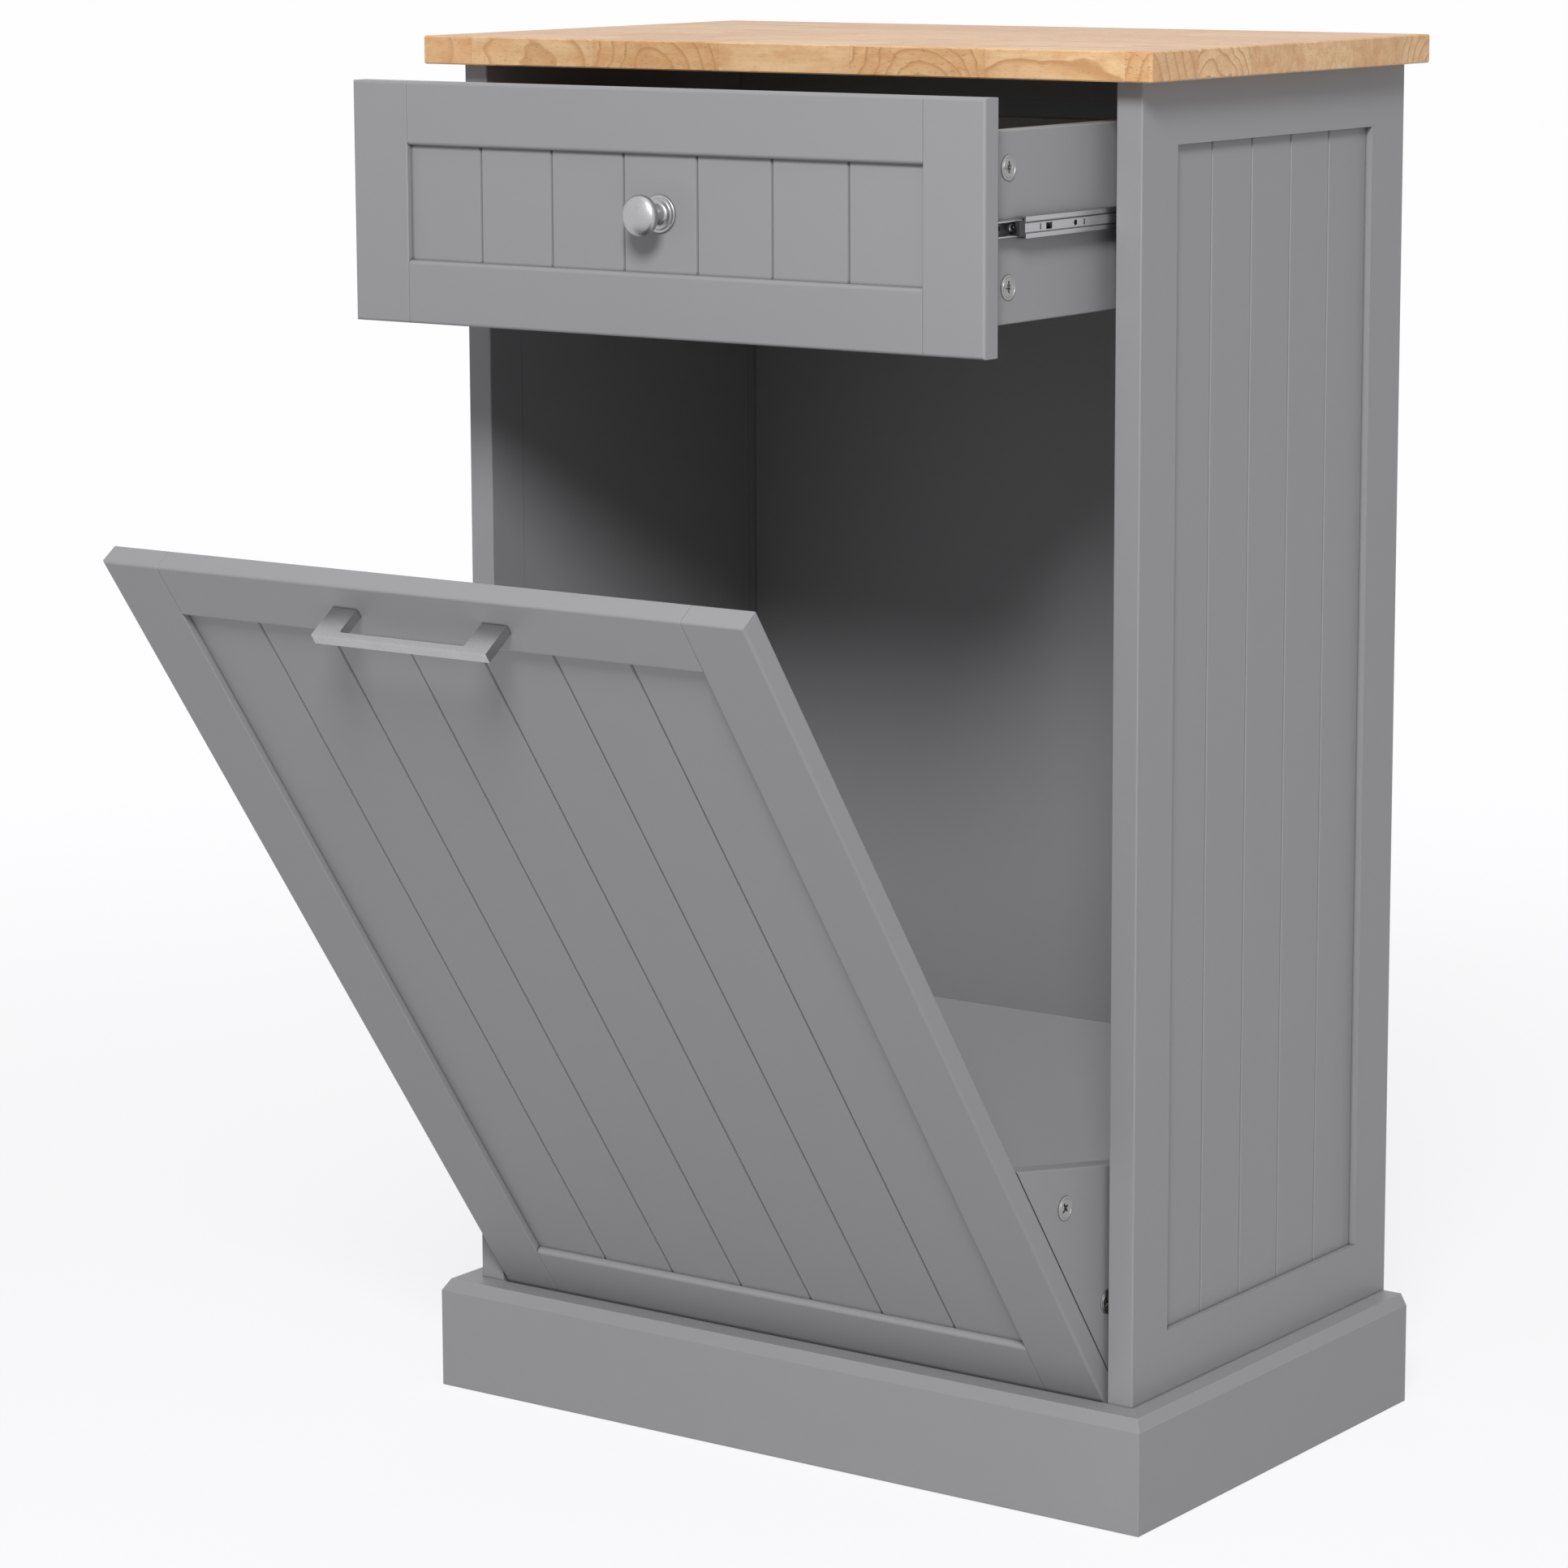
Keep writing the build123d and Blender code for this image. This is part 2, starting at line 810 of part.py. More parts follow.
# Knob: a stepped rose, a waisted neck and a rounded head turned in flat steps
knob_profile = Plane(origin=knob_plane.origin, x_dir=(1, 0, 0), z_dir=(0, 0, -1))
knob_axis = Axis(knob_plane.origin, knob_plane.z_dir)
step_angle = math.pi / knob_head_steps
knob_head_outline = [
    (
        knob_head_radius * math.sin(step * step_angle),
        knob_head_middle - knob_head_half_height * math.cos(step * step_angle),
    )
    for step in range(1, knob_head_steps)
]
knob_head_foot = (0, knob_head_middle - knob_head_half_height)
knob_head_top = (0, knob_head_middle + knob_head_half_height)
with BuildPart() as drawer_knob:
    with BuildSketch(knob_profile):
        with BuildLine():
            Polyline(knob_head_foot, *knob_head_outline, knob_head_top, close=True)
        make_face()
        with BuildLine():
            Polyline(
                (knob_waist_radius, knob_waist_place),
                (knob_neck_radius, knob_head_middle),
                (0, knob_head_middle),
                (0, 0),
                (knob_rose_radius, 0),
                (knob_rose_radius, knob_rose_height),
                (knob_ring_radius, knob_rose_height),
                (knob_ring_radius, knob_ring_height),
                (knob_neck_radius, knob_ring_height),
                close=True,
            )
        make_face()
    revolve(axis=knob_axis)
    add(knob_screw_hole, mode=Mode.SUBTRACT)
save(drawer_knob, "drawer_knob")

knob_screw = screw(
    knob_screw_plane, screw_radius, screw_head_radius, screw_head_height, knob_screw_length
)
save(group([knob_screw]), "knob_screw")

# Drawer box
drawer_back_top = drawer_box_bottom + drawer_box_height - drawer_back_drop
drawer_back_bottom = bottom_z + drawer_bottom_thickness
drawer_screw_planes = [
    Plane(
        origin=(half_box, drawer_box_back - drawer_side_thickness / 2, z),
        x_dir=(0, 1, 0),
        z_dir=(1, 0, 0),
    )
    for z in (drawer_back_bottom + drawer_screw_margin, drawer_back_top - drawer_screw_margin)
]
inner_screw_planes = [
    Plane(
        origin=(half_box + slide_wall, slide_inner_y + place, slide_z),
        x_dir=(0, 1, 0),
        z_dir=(1, 0, 0),
    )
    for place in slide_screw_places
]


def drawer_screw(plane, radius):
    return sunk_screw(plane, radius, screw_head_radius + radius - screw_radius, drawer_screw_length)


with BuildPart() as drawer_side:
    add(
        box_between(
            (half_box - drawer_side_thickness, half_box),
            (drawer_rear_y, drawer_box_back),
            (drawer_box_bottom, drawer_box_bottom + drawer_box_height),
        )
    )
    long_edges = drawer_side.edges().filter_by(Axis.Y)
    fillet(long_edges, radius=board_edge_radius)
    add(bottom_groove, mode=Mode.SUBTRACT)
    for plane in drawer_cam_planes:
        add(cam_pocket(plane), mode=Mode.SUBTRACT)
    for plane in drawer_bolt_planes:
        add(bolt_hole(plane), mode=Mode.SUBTRACT)
    for plane in inner_screw_planes:
        add(slide_screw_hole(plane), mode=Mode.SUBTRACT)
    for plane in drawer_screw_planes:
        add(drawer_screw(plane, screw_radius + fit_clearance), mode=Mode.SUBTRACT)
save_pair(drawer_side, "drawer_side")

with BuildPart() as drawer_back:
    half_back = half_box - drawer_side_thickness
    add(
        box_between(
            (-half_back, half_back),
            (drawer_box_back - drawer_side_thickness, drawer_box_back),
            (drawer_back_bottom, drawer_back_top),
        )
    )
    for plane in drawer_screw_planes:
        for hole in pair(drawer_screw(plane, screw_radius + fit_clearance)):
            add(hole, mode=Mode.SUBTRACT)
save(drawer_back, "drawer_back")

with BuildPart() as drawer_bottom:
    half_bottom = bottom_half_width - panel_clearance
    add(
        box_between(
            (-half_bottom, half_bottom),
            (drawer_rear_y - drawer_groove_depth + panel_clearance, drawer_box_back),
            (bottom_z, bottom_z + drawer_bottom_thickness),
        )
    )
save(drawer_bottom, "drawer_bottom")

drawer_cams = []
drawer_bolts = []
for cam_plane, bolt_plane in zip(drawer_cam_planes, drawer_bolt_planes):
    drawer_cams += pair(cam_lock(cam_plane, bolt_plane))
    drawer_bolts += pair(cam_bolt(bolt_plane))
save(group(drawer_cams), "drawer_cam_locks")
save(group(drawer_bolts), "drawer_cam_bolts")

drawer_screws = []
for plane in drawer_screw_planes:
    drawer_screws += pair(drawer_screw(plane, screw_radius))
save(group(drawer_screws), "drawer_box_screws")


# Ball slides: the outer member on the cabinet, the middle one and the inner one on the drawer
def slide_section(y):
    """Plane across a slide: local X along X, with the slide's height along local Y."""
    return Plane(origin=(0, y, slide_z), x_dir=(1, 0, 0), z_dir=(0, 1, 0))


def channel(back, tip, height):
    """A C section from its web's outer face to its flange tips."""
    web = back + slide_wall * (1 if tip > back else -1)
    rectangle(min(back, web), max(back, web), -height / 2, height / 2)
    for low in (-height / 2, height / 2 - slide_wall):
        rectangle(min(back, tip), max(back, tip), low, low + slide_wall)


with BuildPart() as slide_outer:
    with BuildSketch(slide_section(slide_y)):
        channel(half_opening, half_opening - slide_outer_depth, slide_outer_height)
    extrude(amount=slide_length)
    for plane in outer_screw_planes:
        add(slide_screw_hole(plane), mode=Mode.SUBTRACT)
save_pair(slide_outer, "slide_outer")

middle_back = half_opening - slide_middle_offset
middle_web_face = middle_back + slide_web_raise
middle_web_back = middle_web_face - slide_wall
window_ends = (
    slide_middle_y + slide_window_place - slide_window_length / 2,
    slide_middle_y + slide_window_place + slide_window_length / 2,
)
web_hole_plane = Plane(
    origin=(middle_web_face, slide_middle_y + slide_hole_place, slide_z),
    x_dir=(0, 1, 0),
    z_dir=(1, 0, 0),
)
with BuildPart() as slide_middle:
    with BuildSketch(slide_section(slide_middle_y)):
        channel(middle_back, middle_back - slide_middle_depth, slide_middle_height)
    extrude(amount=slide_middle_length)
    web_half = slide_web_height / 2
    hollow_half = web_half - slide_wall
    hollow = box_between(
        (middle_back - slide_wall, middle_web_back),
        (slide_middle_y, slide_middle_y + slide_middle_length),
        (slide_z - hollow_half, slide_z + hollow_half),
    )
    add(hollow, mode=Mode.SUBTRACT)
    raised_web = box_between(
        (middle_web_back, middle_web_face),
        (slide_middle_y - slide_web_lead, slide_middle_y + slide_middle_length),
        (slide_z - web_half, slide_z + web_half),
    )
    add(raised_web)
    window = box_between(
        (middle_back - slide_wall, middle_web_face),
        window_ends,
        (slide_z - slide_window_height / 2, slide_z + slide_window_height / 2),
    )
    add(window, mode=Mode.SUBTRACT)
    add(rod(web_hole_plane, slide_hole_radius, 0, slide_wall), mode=Mode.SUBTRACT)
    for place in slide_slot_places:
        slot_y = slide_middle_y + place
        slot = box_between(
            (middle_web_back, middle_web_face),
            (slot_y - slide_slot_width / 2, slot_y + slide_slot_width / 2),
            (slide_z - slide_slot_height / 2, slide_z + slide_slot_height / 2),
        )
        add(slot, mode=Mode.SUBTRACT)
save_pair(slide_middle, "slide_middle")

with BuildPart() as slide_inner:
    with BuildSketch(slide_section(slide_inner_y)):
        channel(half_box, half_box + slide_inner_depth, slide_inner_height)
    extrude(amount=slide_length)
    hole_y = slide_inner_y + slide_square_hole_place
    square_hole = box_between(
        (half_box, half_box + slide_wall),
        (hole_y - slide_square_hole / 2, hole_y + slide_square_hole / 2),
        (slide_z - slide_square_hole / 2, slide_z + slide_square_hole / 2),
    )
    add(square_hole, mode=Mode.SUBTRACT)
    for plane in inner_screw_planes:
        add(slide_screw_hole(plane), mode=Mode.SUBTRACT)
save_pair(slide_inner, "slide_inner")

# Plastic bumper at the front end of each middle member, held behind its web
with BuildPart() as bumper:
    web_front = slide_middle_y - slide_web_lead
    add(
        box_between(
            (middle_web_face - bumper_thickness, middle_web_face),
            (web_front - bumper_lead, web_front),
            (slide_z - bumper_height / 2, slide_z + bumper_height / 2),
        )
    )
    add(
        box_between(
            (middle_web_face - bumper_thickness, middle_web_back),
            (web_front, web_front + bumper_tongue_length),
            (slide_z - bumper_tongue_height / 2, slide_z + bumper_tongue_height / 2),
        )
    )
save(group(pair(bumper.part)), "slide_bumpers")


def cage_strips(middle_y, back, low, high):
    """The upper and lower strips that hold a slide's balls in one running gap."""
    upper = box_between(
        (back - cage_width, back),
        (middle_y - cage_length / 2, middle_y + cage_length / 2),
        (slide_z + low + cage_clearance, slide_z + high - cage_clearance),
    )
    lower = mirror(upper, about=Plane.XY.offset(slide_z), mode=Mode.PRIVATE)
    return pair(upper) + pair(lower)


outer_cages = cage_strips(
    slide_y + slide_length / 2 - slide_middle_out / 2,
    middle_back - slide_wall / 2,
    slide_middle_height / 2,
    slide_outer_height / 2 - slide_wall,
)
save(group(outer_cages), "outer_ball_cages")

inner_cages = cage_strips(
    slide_y + slide_length / 2 - (slide_middle_out + drawer_out) / 2,
    half_box + slide_inner_depth,
    slide_inner_height / 2,
    slide_middle_height / 2 - slide_wall,
)
save(group(inner_cages), "inner_ball_cages")

outer_screws = []
for plane in outer_screw_planes:
    outer_screws += pair(slide_screw(plane))
save(group(outer_screws), "cabinet_slide_screws")

inner_screws = []
for plane in inner_screw_planes:
    inner_screws += pair(slide_screw(plane))
save(group(inner_screws), "drawer_slide_screws")

# Door, on a plane that leans with it
door_corner = tray_section(0).from_local_coords((-front_thickness / 2, -pin_to_door_bottom, 0))
door_face = Plane(origin=door_corner, x_dir=(1, 0, 0), z_dir=out_of_door)
tray_bolt_planes = [
    Plane(
        origin=tray_section(half_front - tray_side_thickness / 2).from_local_coords(
            (door_rear, tray_underside + height, 0)
        ),
        x_dir=(1, 0, 0),
        z_dir=out_of_door,
    )
    for height in tray_cam_heights
]
tray_cam_planes = [
    moved(tray_section(half_front), door_rear + cam_setback, tray_underside + height)
    for height in tray_cam_heights
]
pin = rod(pin_plane, pin_radius, front_side_gap + pin_grip, pin_reach)
pin_hole = rod(pin_plane, pin_radius + fit_clearance, front_side_gap + pin_grip, 0)

with BuildPart() as door_stile:
    add(front_stile(door_face, door_height, door_bottom_rail_width, rail_width))
    for plane in tray_bolt_planes:
        add(bolt_hole(plane), mode=Mode.SUBTRACT)
    add(pin_hole, mode=Mode.SUBTRACT)
save_pair(door_stile, "door_stile")
save(group(pair(pin)), "pivot_pins")

with BuildPart() as door_bottom_rail:
    add(front_rail(door_face, 0, door_bottom_rail_width, panel_above=True))
save(door_bottom_rail, "door_bottom_rail")

with BuildPart() as door_panel:
    add(front_panel(door_face, door_height, door_bottom_rail_width, rail_width))
save(door_panel, "door_panel")

# Handle across the door's top rail
handle_top = door_height - handle_from_top
handle_screw_planes = [
    Plane(
        origin=door_face.from_local_coords(
            (
                side * (handle_length - handle_leg_width) / 2,
                handle_top - handle_thickness / 2,
                -front_thickness,
            )
        ),
        x_dir=(1, 0, 0),
        z_dir=into_door,
    )
    for side in (-1, 1)
]
handle_screw_length = front_thickness + screw_grip
handle_screw_holes = [
    sided_rod(plane, screw_radius + fit_clearance, 0, handle_screw_length)
    for plane in handle_screw_planes
]

with BuildPart() as door_top_rail:
    add(front_rail(door_face, door_height - rail_width, door_height, panel_above=False))
    for hole in handle_screw_holes:
        add(hole, mode=Mode.SUBTRACT)
save(door_top_rail, "door_top_rail")

handle_plan = Plane(
    origin=door_face.from_local_coords((0, handle_top, 0)),
    x_dir=(1, 0, 0),
    z_dir=-door_face.y_dir,
)
with BuildPart() as door_handle:
    half_handle = handle_length / 2
    with BuildSketch(handle_plan):
        rectangle(-half_handle, half_handle, 0, handle_reach)
    extrude(amount=handle_thickness)
    outward = Axis(door_face.origin, door_face.z_dir)
    front_edges = door_handle.edges().group_by(outward)[-1]
    chamfer(front_edges, length=handle_edge_chamfer)
    grip_half = half_handle - handle_leg_width
    grip_depth = handle_reach - handle_bar_depth
    with BuildSketch(handle_plan) as grip:
        rectangle(-grip_half, grip_half, 0, grip_depth)
        far_corners = grip.vertices().sort_by(Axis.Y)[-2:]
        fillet(far_corners, radius=handle_inner_radius)
    extrude(amount=handle_thickness, mode=Mode.SUBTRACT)
    for hole in handle_screw_holes:
        add(hole, mode=Mode.SUBTRACT)
save(door_handle, "door_handle")

handle_screws = [
    screw(plane, screw_radius, screw_head_radius, screw_head_height, handle_screw_length)
    for plane in handle_screw_planes
]
save(group(handle_screws), "handle_screws")

# Tray behind the door, which carries the bin: two sloping sides and a floor
slope_end = door_rear + tray_side_height - tray_rear_height
tray_screw_planes = [
    moved(
        tray_section(half_front),
        door_rear + place,
        tray_underside + tray_floor_thickness / 2,
    )
    for place in tray_screw_places
]


def tray_screw(plane, radius):
    return sunk_screw(plane, radius, screw_head_radius + radius - screw_radius, tray_screw_length)


with BuildPart() as tray_side:
    with BuildSketch(tray_section(half_front - tray_side_thickness)):
        Polygon(
            (door_rear, tray_underside),
            (slope_end, tray_underside),
            (slope_end, tray_underside + tray_rear_height),
            (door_rear, tray_underside + tray_side_height),
            align=None,
        )
    extrude(amount=tray_side_thickness)
    slope_top = tray_section(0).from_local_coords(
        (door_rear, tray_underside + tray_side_height, 0)
    )
    slope_foot = tray_section(0).from_local_coords(
        (slope_end, tray_underside + tray_rear_height, 0)
    )
    slope = Axis(slope_top, slope_foot - slope_top)
    fillet(tray_side.edges().filter_by(slope), radius=board_edge_radius)
    for plane in tray_cam_planes:
        add(cam_pocket(plane), mode=Mode.SUBTRACT)
    for plane in tray_bolt_planes:
        add(bolt_hole(plane), mode=Mode.SUBTRACT)
    for plane in tray_screw_planes:
        add(tray_screw(plane, screw_radius + fit_clearance), mode=Mode.SUBTRACT)
save_pair(tray_side, "tray_side")

with BuildPart() as tray_floor:
    half_tray = half_front - tray_side_thickness
    with BuildSketch(tray_section(-half_tray)):
        rectangle(
            door_rear,
            door_rear + tray_floor_depth,
            tray_underside,
            tray_underside + tray_floor_thickness,
        )
    extrude(amount=2 * half_tray)
    for plane in tray_screw_planes:
        for hole in pair(tray_screw(plane, screw_radius + fit_clearance)):
            add(hole, mode=Mode.SUBTRACT)
save(tray_floor, "tray_floor")

tray_cams = []
tray_bolts = []
for cam_plane, bolt_plane in zip(tray_cam_planes, tray_bolt_planes):
    tray_cams += pair(cam_lock(cam_plane, bolt_plane))
    tray_bolts += pair(cam_bolt(bolt_plane))
save(group(tray_cams), "tray_cam_locks")
save(group(tray_bolts), "tray_cam_bolts")

tray_screws = []
for plane in tray_screw_planes:
    tray_screws += pair(tray_screw(plane, screw_radius))
save(group(tray_screws), "tray_screws")
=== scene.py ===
import json
import math

import bmesh
import bpy
from mathutils import Matrix, Vector
from mathutils.geometry import tessellate_polygon

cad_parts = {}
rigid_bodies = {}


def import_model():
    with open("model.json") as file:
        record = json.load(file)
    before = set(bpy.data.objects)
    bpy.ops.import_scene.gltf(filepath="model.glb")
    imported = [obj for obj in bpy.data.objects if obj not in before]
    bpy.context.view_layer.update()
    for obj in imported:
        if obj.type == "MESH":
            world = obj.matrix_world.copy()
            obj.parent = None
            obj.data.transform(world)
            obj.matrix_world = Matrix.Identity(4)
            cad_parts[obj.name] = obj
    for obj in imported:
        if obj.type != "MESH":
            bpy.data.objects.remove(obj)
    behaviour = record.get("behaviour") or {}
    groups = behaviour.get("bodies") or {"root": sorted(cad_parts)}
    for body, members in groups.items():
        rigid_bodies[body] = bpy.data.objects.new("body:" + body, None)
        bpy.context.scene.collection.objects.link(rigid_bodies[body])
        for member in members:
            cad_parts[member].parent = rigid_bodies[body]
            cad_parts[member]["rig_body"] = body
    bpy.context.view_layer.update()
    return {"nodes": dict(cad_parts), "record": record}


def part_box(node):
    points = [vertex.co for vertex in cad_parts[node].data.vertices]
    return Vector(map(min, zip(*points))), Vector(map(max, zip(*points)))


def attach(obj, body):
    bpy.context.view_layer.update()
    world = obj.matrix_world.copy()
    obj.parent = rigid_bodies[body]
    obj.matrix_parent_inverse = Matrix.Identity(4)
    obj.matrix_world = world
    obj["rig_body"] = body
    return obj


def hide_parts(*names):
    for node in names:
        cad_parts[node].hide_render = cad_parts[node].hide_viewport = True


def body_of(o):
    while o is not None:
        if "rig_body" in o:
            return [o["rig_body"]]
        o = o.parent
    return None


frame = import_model()


# Shader recipes. A Wire is one socket, and sums on wires add the Math nodes they need.
probe = {
    "bevelSamples": 4,
    "openSamples": 6,
    # ramps for the painted crease shade and for the edge mask of wear and a painted highlight
    "creaseShade": (0.16, 0.62),
    "wearSheenStart": 0.05,
    "wearSheenEnd": 0.3,
}


class Wire:
    def __init__(self, recipe, socket):
        self.recipe = recipe
        self.socket = socket

    def __add__(self, other):
        return self.recipe.maths("ADD", self, other)

    __radd__ = __add__

    def __sub__(self, other):
        return self.recipe.maths("SUBTRACT", self, other)

    def __rsub__(self, other):
        return self.recipe.maths("SUBTRACT", other, self)

    def __mul__(self, other):
        return self.recipe.maths("MULTIPLY", self, other)

    __rmul__ = __mul__

    def __truediv__(self, other):
        return self.recipe.maths("DIVIDE", self, other)

    def __rtruediv__(self, other):
        return self.recipe.maths("DIVIDE", other, self)


class Recipe:
    def __init__(self, tree):
        self.tree = tree
        tree.nodes.clear()

    def node(self, kind, settings=None, values=None, out=0):
        made = self.tree.nodes.new(kind)
        for key, value in (settings or {}).items():
            if key == "stops":
                ramp = made.color_ramp
                while len(ramp.elements) < len(value):
                    ramp.elements.new(1)
                for stop, (place, colour) in zip(ramp.elements, value):
                    stop.position = place
                    stop.color = (*colour, 1)
            else:
                setattr(made, key, value)
        for key, value in (values or {}).items():
            if isinstance(value, Wire):
                self.tree.links.new(value.socket, made.inputs[key])
            else:
                made.inputs[key].default_value = value
        return Wire(self, made.outputs[out]) if made.outputs else made

    def maths(self, operation, first, second=0.0):
        return self.node("ShaderNodeMath", {"operation": operation}, {0: first, 1: second})

    def clamped(self, value, low, high):  # 0 at low, 1 at high, smooth between
        settings = {"interpolation_type": "SMOOTHSTEP"}
        return self.node("ShaderNodeMapRange", settings, {0: value, 1: low, 2: high})

    def tint(self, factor, first, second, blend="MIX"):
        settings = {"data_type": "RGBA", "blend_type": blend}
        paints = [c if isinstance(c, Wire) else (*c, 1) for c in (first, second)]
        values = {0: factor, 6: paints[0], 7: paints[1]}
        return self.node("ShaderNodeMix", settings, values, out=2)

    def shaded(self, shade, colour):
        return self.tint(1.0, self.joined(shade, shade, shade), colour, "MULTIPLY")

    def place(self):
        return self.node("ShaderNodeTexCoord", out=3)

    def facing(self):
        return self.node("ShaderNodeTexCoord", out=1)

    def parts(self, vector):
        split = self.node("ShaderNodeSeparateXYZ", values={0: vector})
        return [Wire(self, socket) for socket in split.socket.node.outputs]

    def joined(self, x, y, z):
        return self.node("ShaderNodeCombineXYZ", values={0: x, 1: y, 2: z})

    def stretched(self, vector, scale):
        settings = {"operation": "MULTIPLY"}
        return self.node("ShaderNodeVectorMath", settings, {0: vector, 1: scale})

    def noise(self, vector, scale, detail=2.0, roughness=0.5):
        values = {"Vector": vector, "Scale": scale, "Detail": detail, "Roughness": roughness}
        return self.node("ShaderNodeTexNoise", {}, values)

    def bumped(self, height, depth, strength):
        values = {"Height": height, "Distance": depth, "Strength": strength}
        return self.node("ShaderNodeBump", {}, values)

    def edgeWearAndSheen(self, width, start=probe["wearSheenStart"]):  # 1 along convex and concave edges, 0 on flats: the mask of edge wear and a painted edge highlight
        soft = self.node("ShaderNodeBevel", {"samples": probe["bevelSamples"]}, {"Radius": width})
        hard = self.node("ShaderNodeNewGeometry", out=1)
        settings = {"operation": "DOT_PRODUCT"}
        turned = 1 - self.node("ShaderNodeVectorMath", settings, {0: soft, 1: hard}, out=1)
        return self.clamped(turned, start, probe["wearSheenEnd"])

    def paintedCreaseShade(self, reach):  # painted shade: near 1 down in grooves, joints and corners, where ambient occlusion finds them closed in, 0 in the open
        settings = {"samples": probe["openSamples"]}
        opened = self.node("ShaderNodeAmbientOcclusion", settings, {"Distance": reach}, out=1)
        return self.clamped(1 - opened, *probe["creaseShade"])


def finish(name, build):
    material = bpy.data.materials.new(name)
    material.use_nodes = True
    recipe = Recipe(material.node_tree)
    constants, changing = build(recipe)
    shader = recipe.node("ShaderNodeBsdfPrincipled", {}, {**constants, **changing})
    recipe.node("ShaderNodeOutputMaterial", {}, {"Surface": shader})
    return material


def surface(constants, colour, roughness, normal):
    return constants, {"Base Color": colour, "Roughness": roughness, "Normal": normal}


paint = {
    "colour": (0.292, 0.292, 0.301),
    # lighter colour of the edges: thin paint and a painted highlight
    "wornSheen": (0.40, 0.40, 0.405),
    # dark colour of the painted shade in grooves, joints and corners
    "creaseShade": (0.045, 0.045, 0.048),
    "roughness": 0.41,
    "gloss": 0.42,
    "cloudScale": 3.2,
    "mottleScale": 46,
    "peelScale": 900,
    "waveScale": 210,
    "wornSheenWidth": 0.0012,
    "wornSheenStart": 0.06,
    "creaseReach": 0.0026,
    "creaseShare": 0.66,
    "bump": (0.000012, 0.3),
}


def greyPaint(r):  # sprayed satin paint: cloudy, fine orange peel, thin on its edges, where a painted highlight lightens it too; painted shade darkens joints, grooves and corners
    spot = r.place()
    cloud = r.noise(spot, paint["cloudScale"], 3, 0.55)
    mottle = r.noise(spot, paint["mottleScale"], 3, 0.6)
    peel = r.noise(spot, paint["peelScale"])
    grey = r.shaded(0.955 + 0.06 * cloud + 0.03 * mottle, paint["colour"])
    # lighter edges: thin, rubbed paint with a painted highlight
    wearSheen = r.edgeWearAndSheen(paint["wornSheenWidth"], paint["wornSheenStart"]) * (0.16 + 0.5 * mottle)
    wornSheen = r.tint(wearSheen, grey, paint["wornSheen"])
    # painted shade, from ambient occlusion, darkens grooves, joints and corners
    creaseShade = r.paintedCreaseShade(paint["creaseReach"]) * paint["creaseShare"]
    colour = r.tint(creaseShade, wornSheen, paint["creaseShade"])
    roughness = paint["roughness"] + 0.07 * cloud + 0.05 * peel
    height = peel + 0.6 * r.noise(spot, paint["waveScale"])
    normal = r.bumped(height, *paint["bump"])
    return surface({"Specular IOR Level": paint["gloss"]}, colour, roughness, normal)


ply = {
    "colour": (0.285, 0.285, 0.292),
    "roughness": 0.55,
    "gloss": 0.35,
    "grainScale": (210, 210, 9),
    "cloudScale": 2.6,
    "bump": (0.00012, 0.3),
}


def paintedPly(r):  # thin board, paint over a faint grain that runs up
    spot = r.place()
    grain = r.noise(r.stretched(spot, ply["grainScale"]), 1, 4, 0.6)
    cloud = r.noise(spot, ply["cloudScale"], 3)
    colour = r.shaded(0.95 + 0.06 * cloud + 0.03 * grain, ply["colour"])
    roughness = ply["roughness"] + 0.12 * (grain - 0.5)
    normal = r.bumped(grain, *ply["bump"])
    return surface({"Specular IOR Level": ply["gloss"]}, colour, roughness, normal)


wood = {
    "pale": (0.86, 0.595, 0.335),
    "honey": (0.65, 0.355, 0.155),
    "ring": (0.45, 0.205, 0.078),
    "pore": (0.26, 0.12, 0.05),
    "stave": 0.062,
    "block": 0.098,
    "roughness": 0.42,
    "gloss": 0.42,
    "coat": 0.05,
    "coatRoughness": 0.3,
    "laneShift": 40.3,
    "blockShift": 20,
    "teeth": 4,
    "toothShare": 0.012,
    "heartHeight": 0.889,
    "swayScale": (17, 34, 34),
    "mottleScale": (45, 110, 110),
    "streakScale": (22, 330, 330),
    "stripeScale": (3.2, 95, 95),
    "poreScale": (240, 1150, 1150),
    "glueWidth": 0.0004,
    # width and start of the edge mask for wear and a painted highlight
    "wearSheenWidth": 0.0012,
    "wearSheenStart": 0.06,
    "bump": (0.00006, 0.35),
}


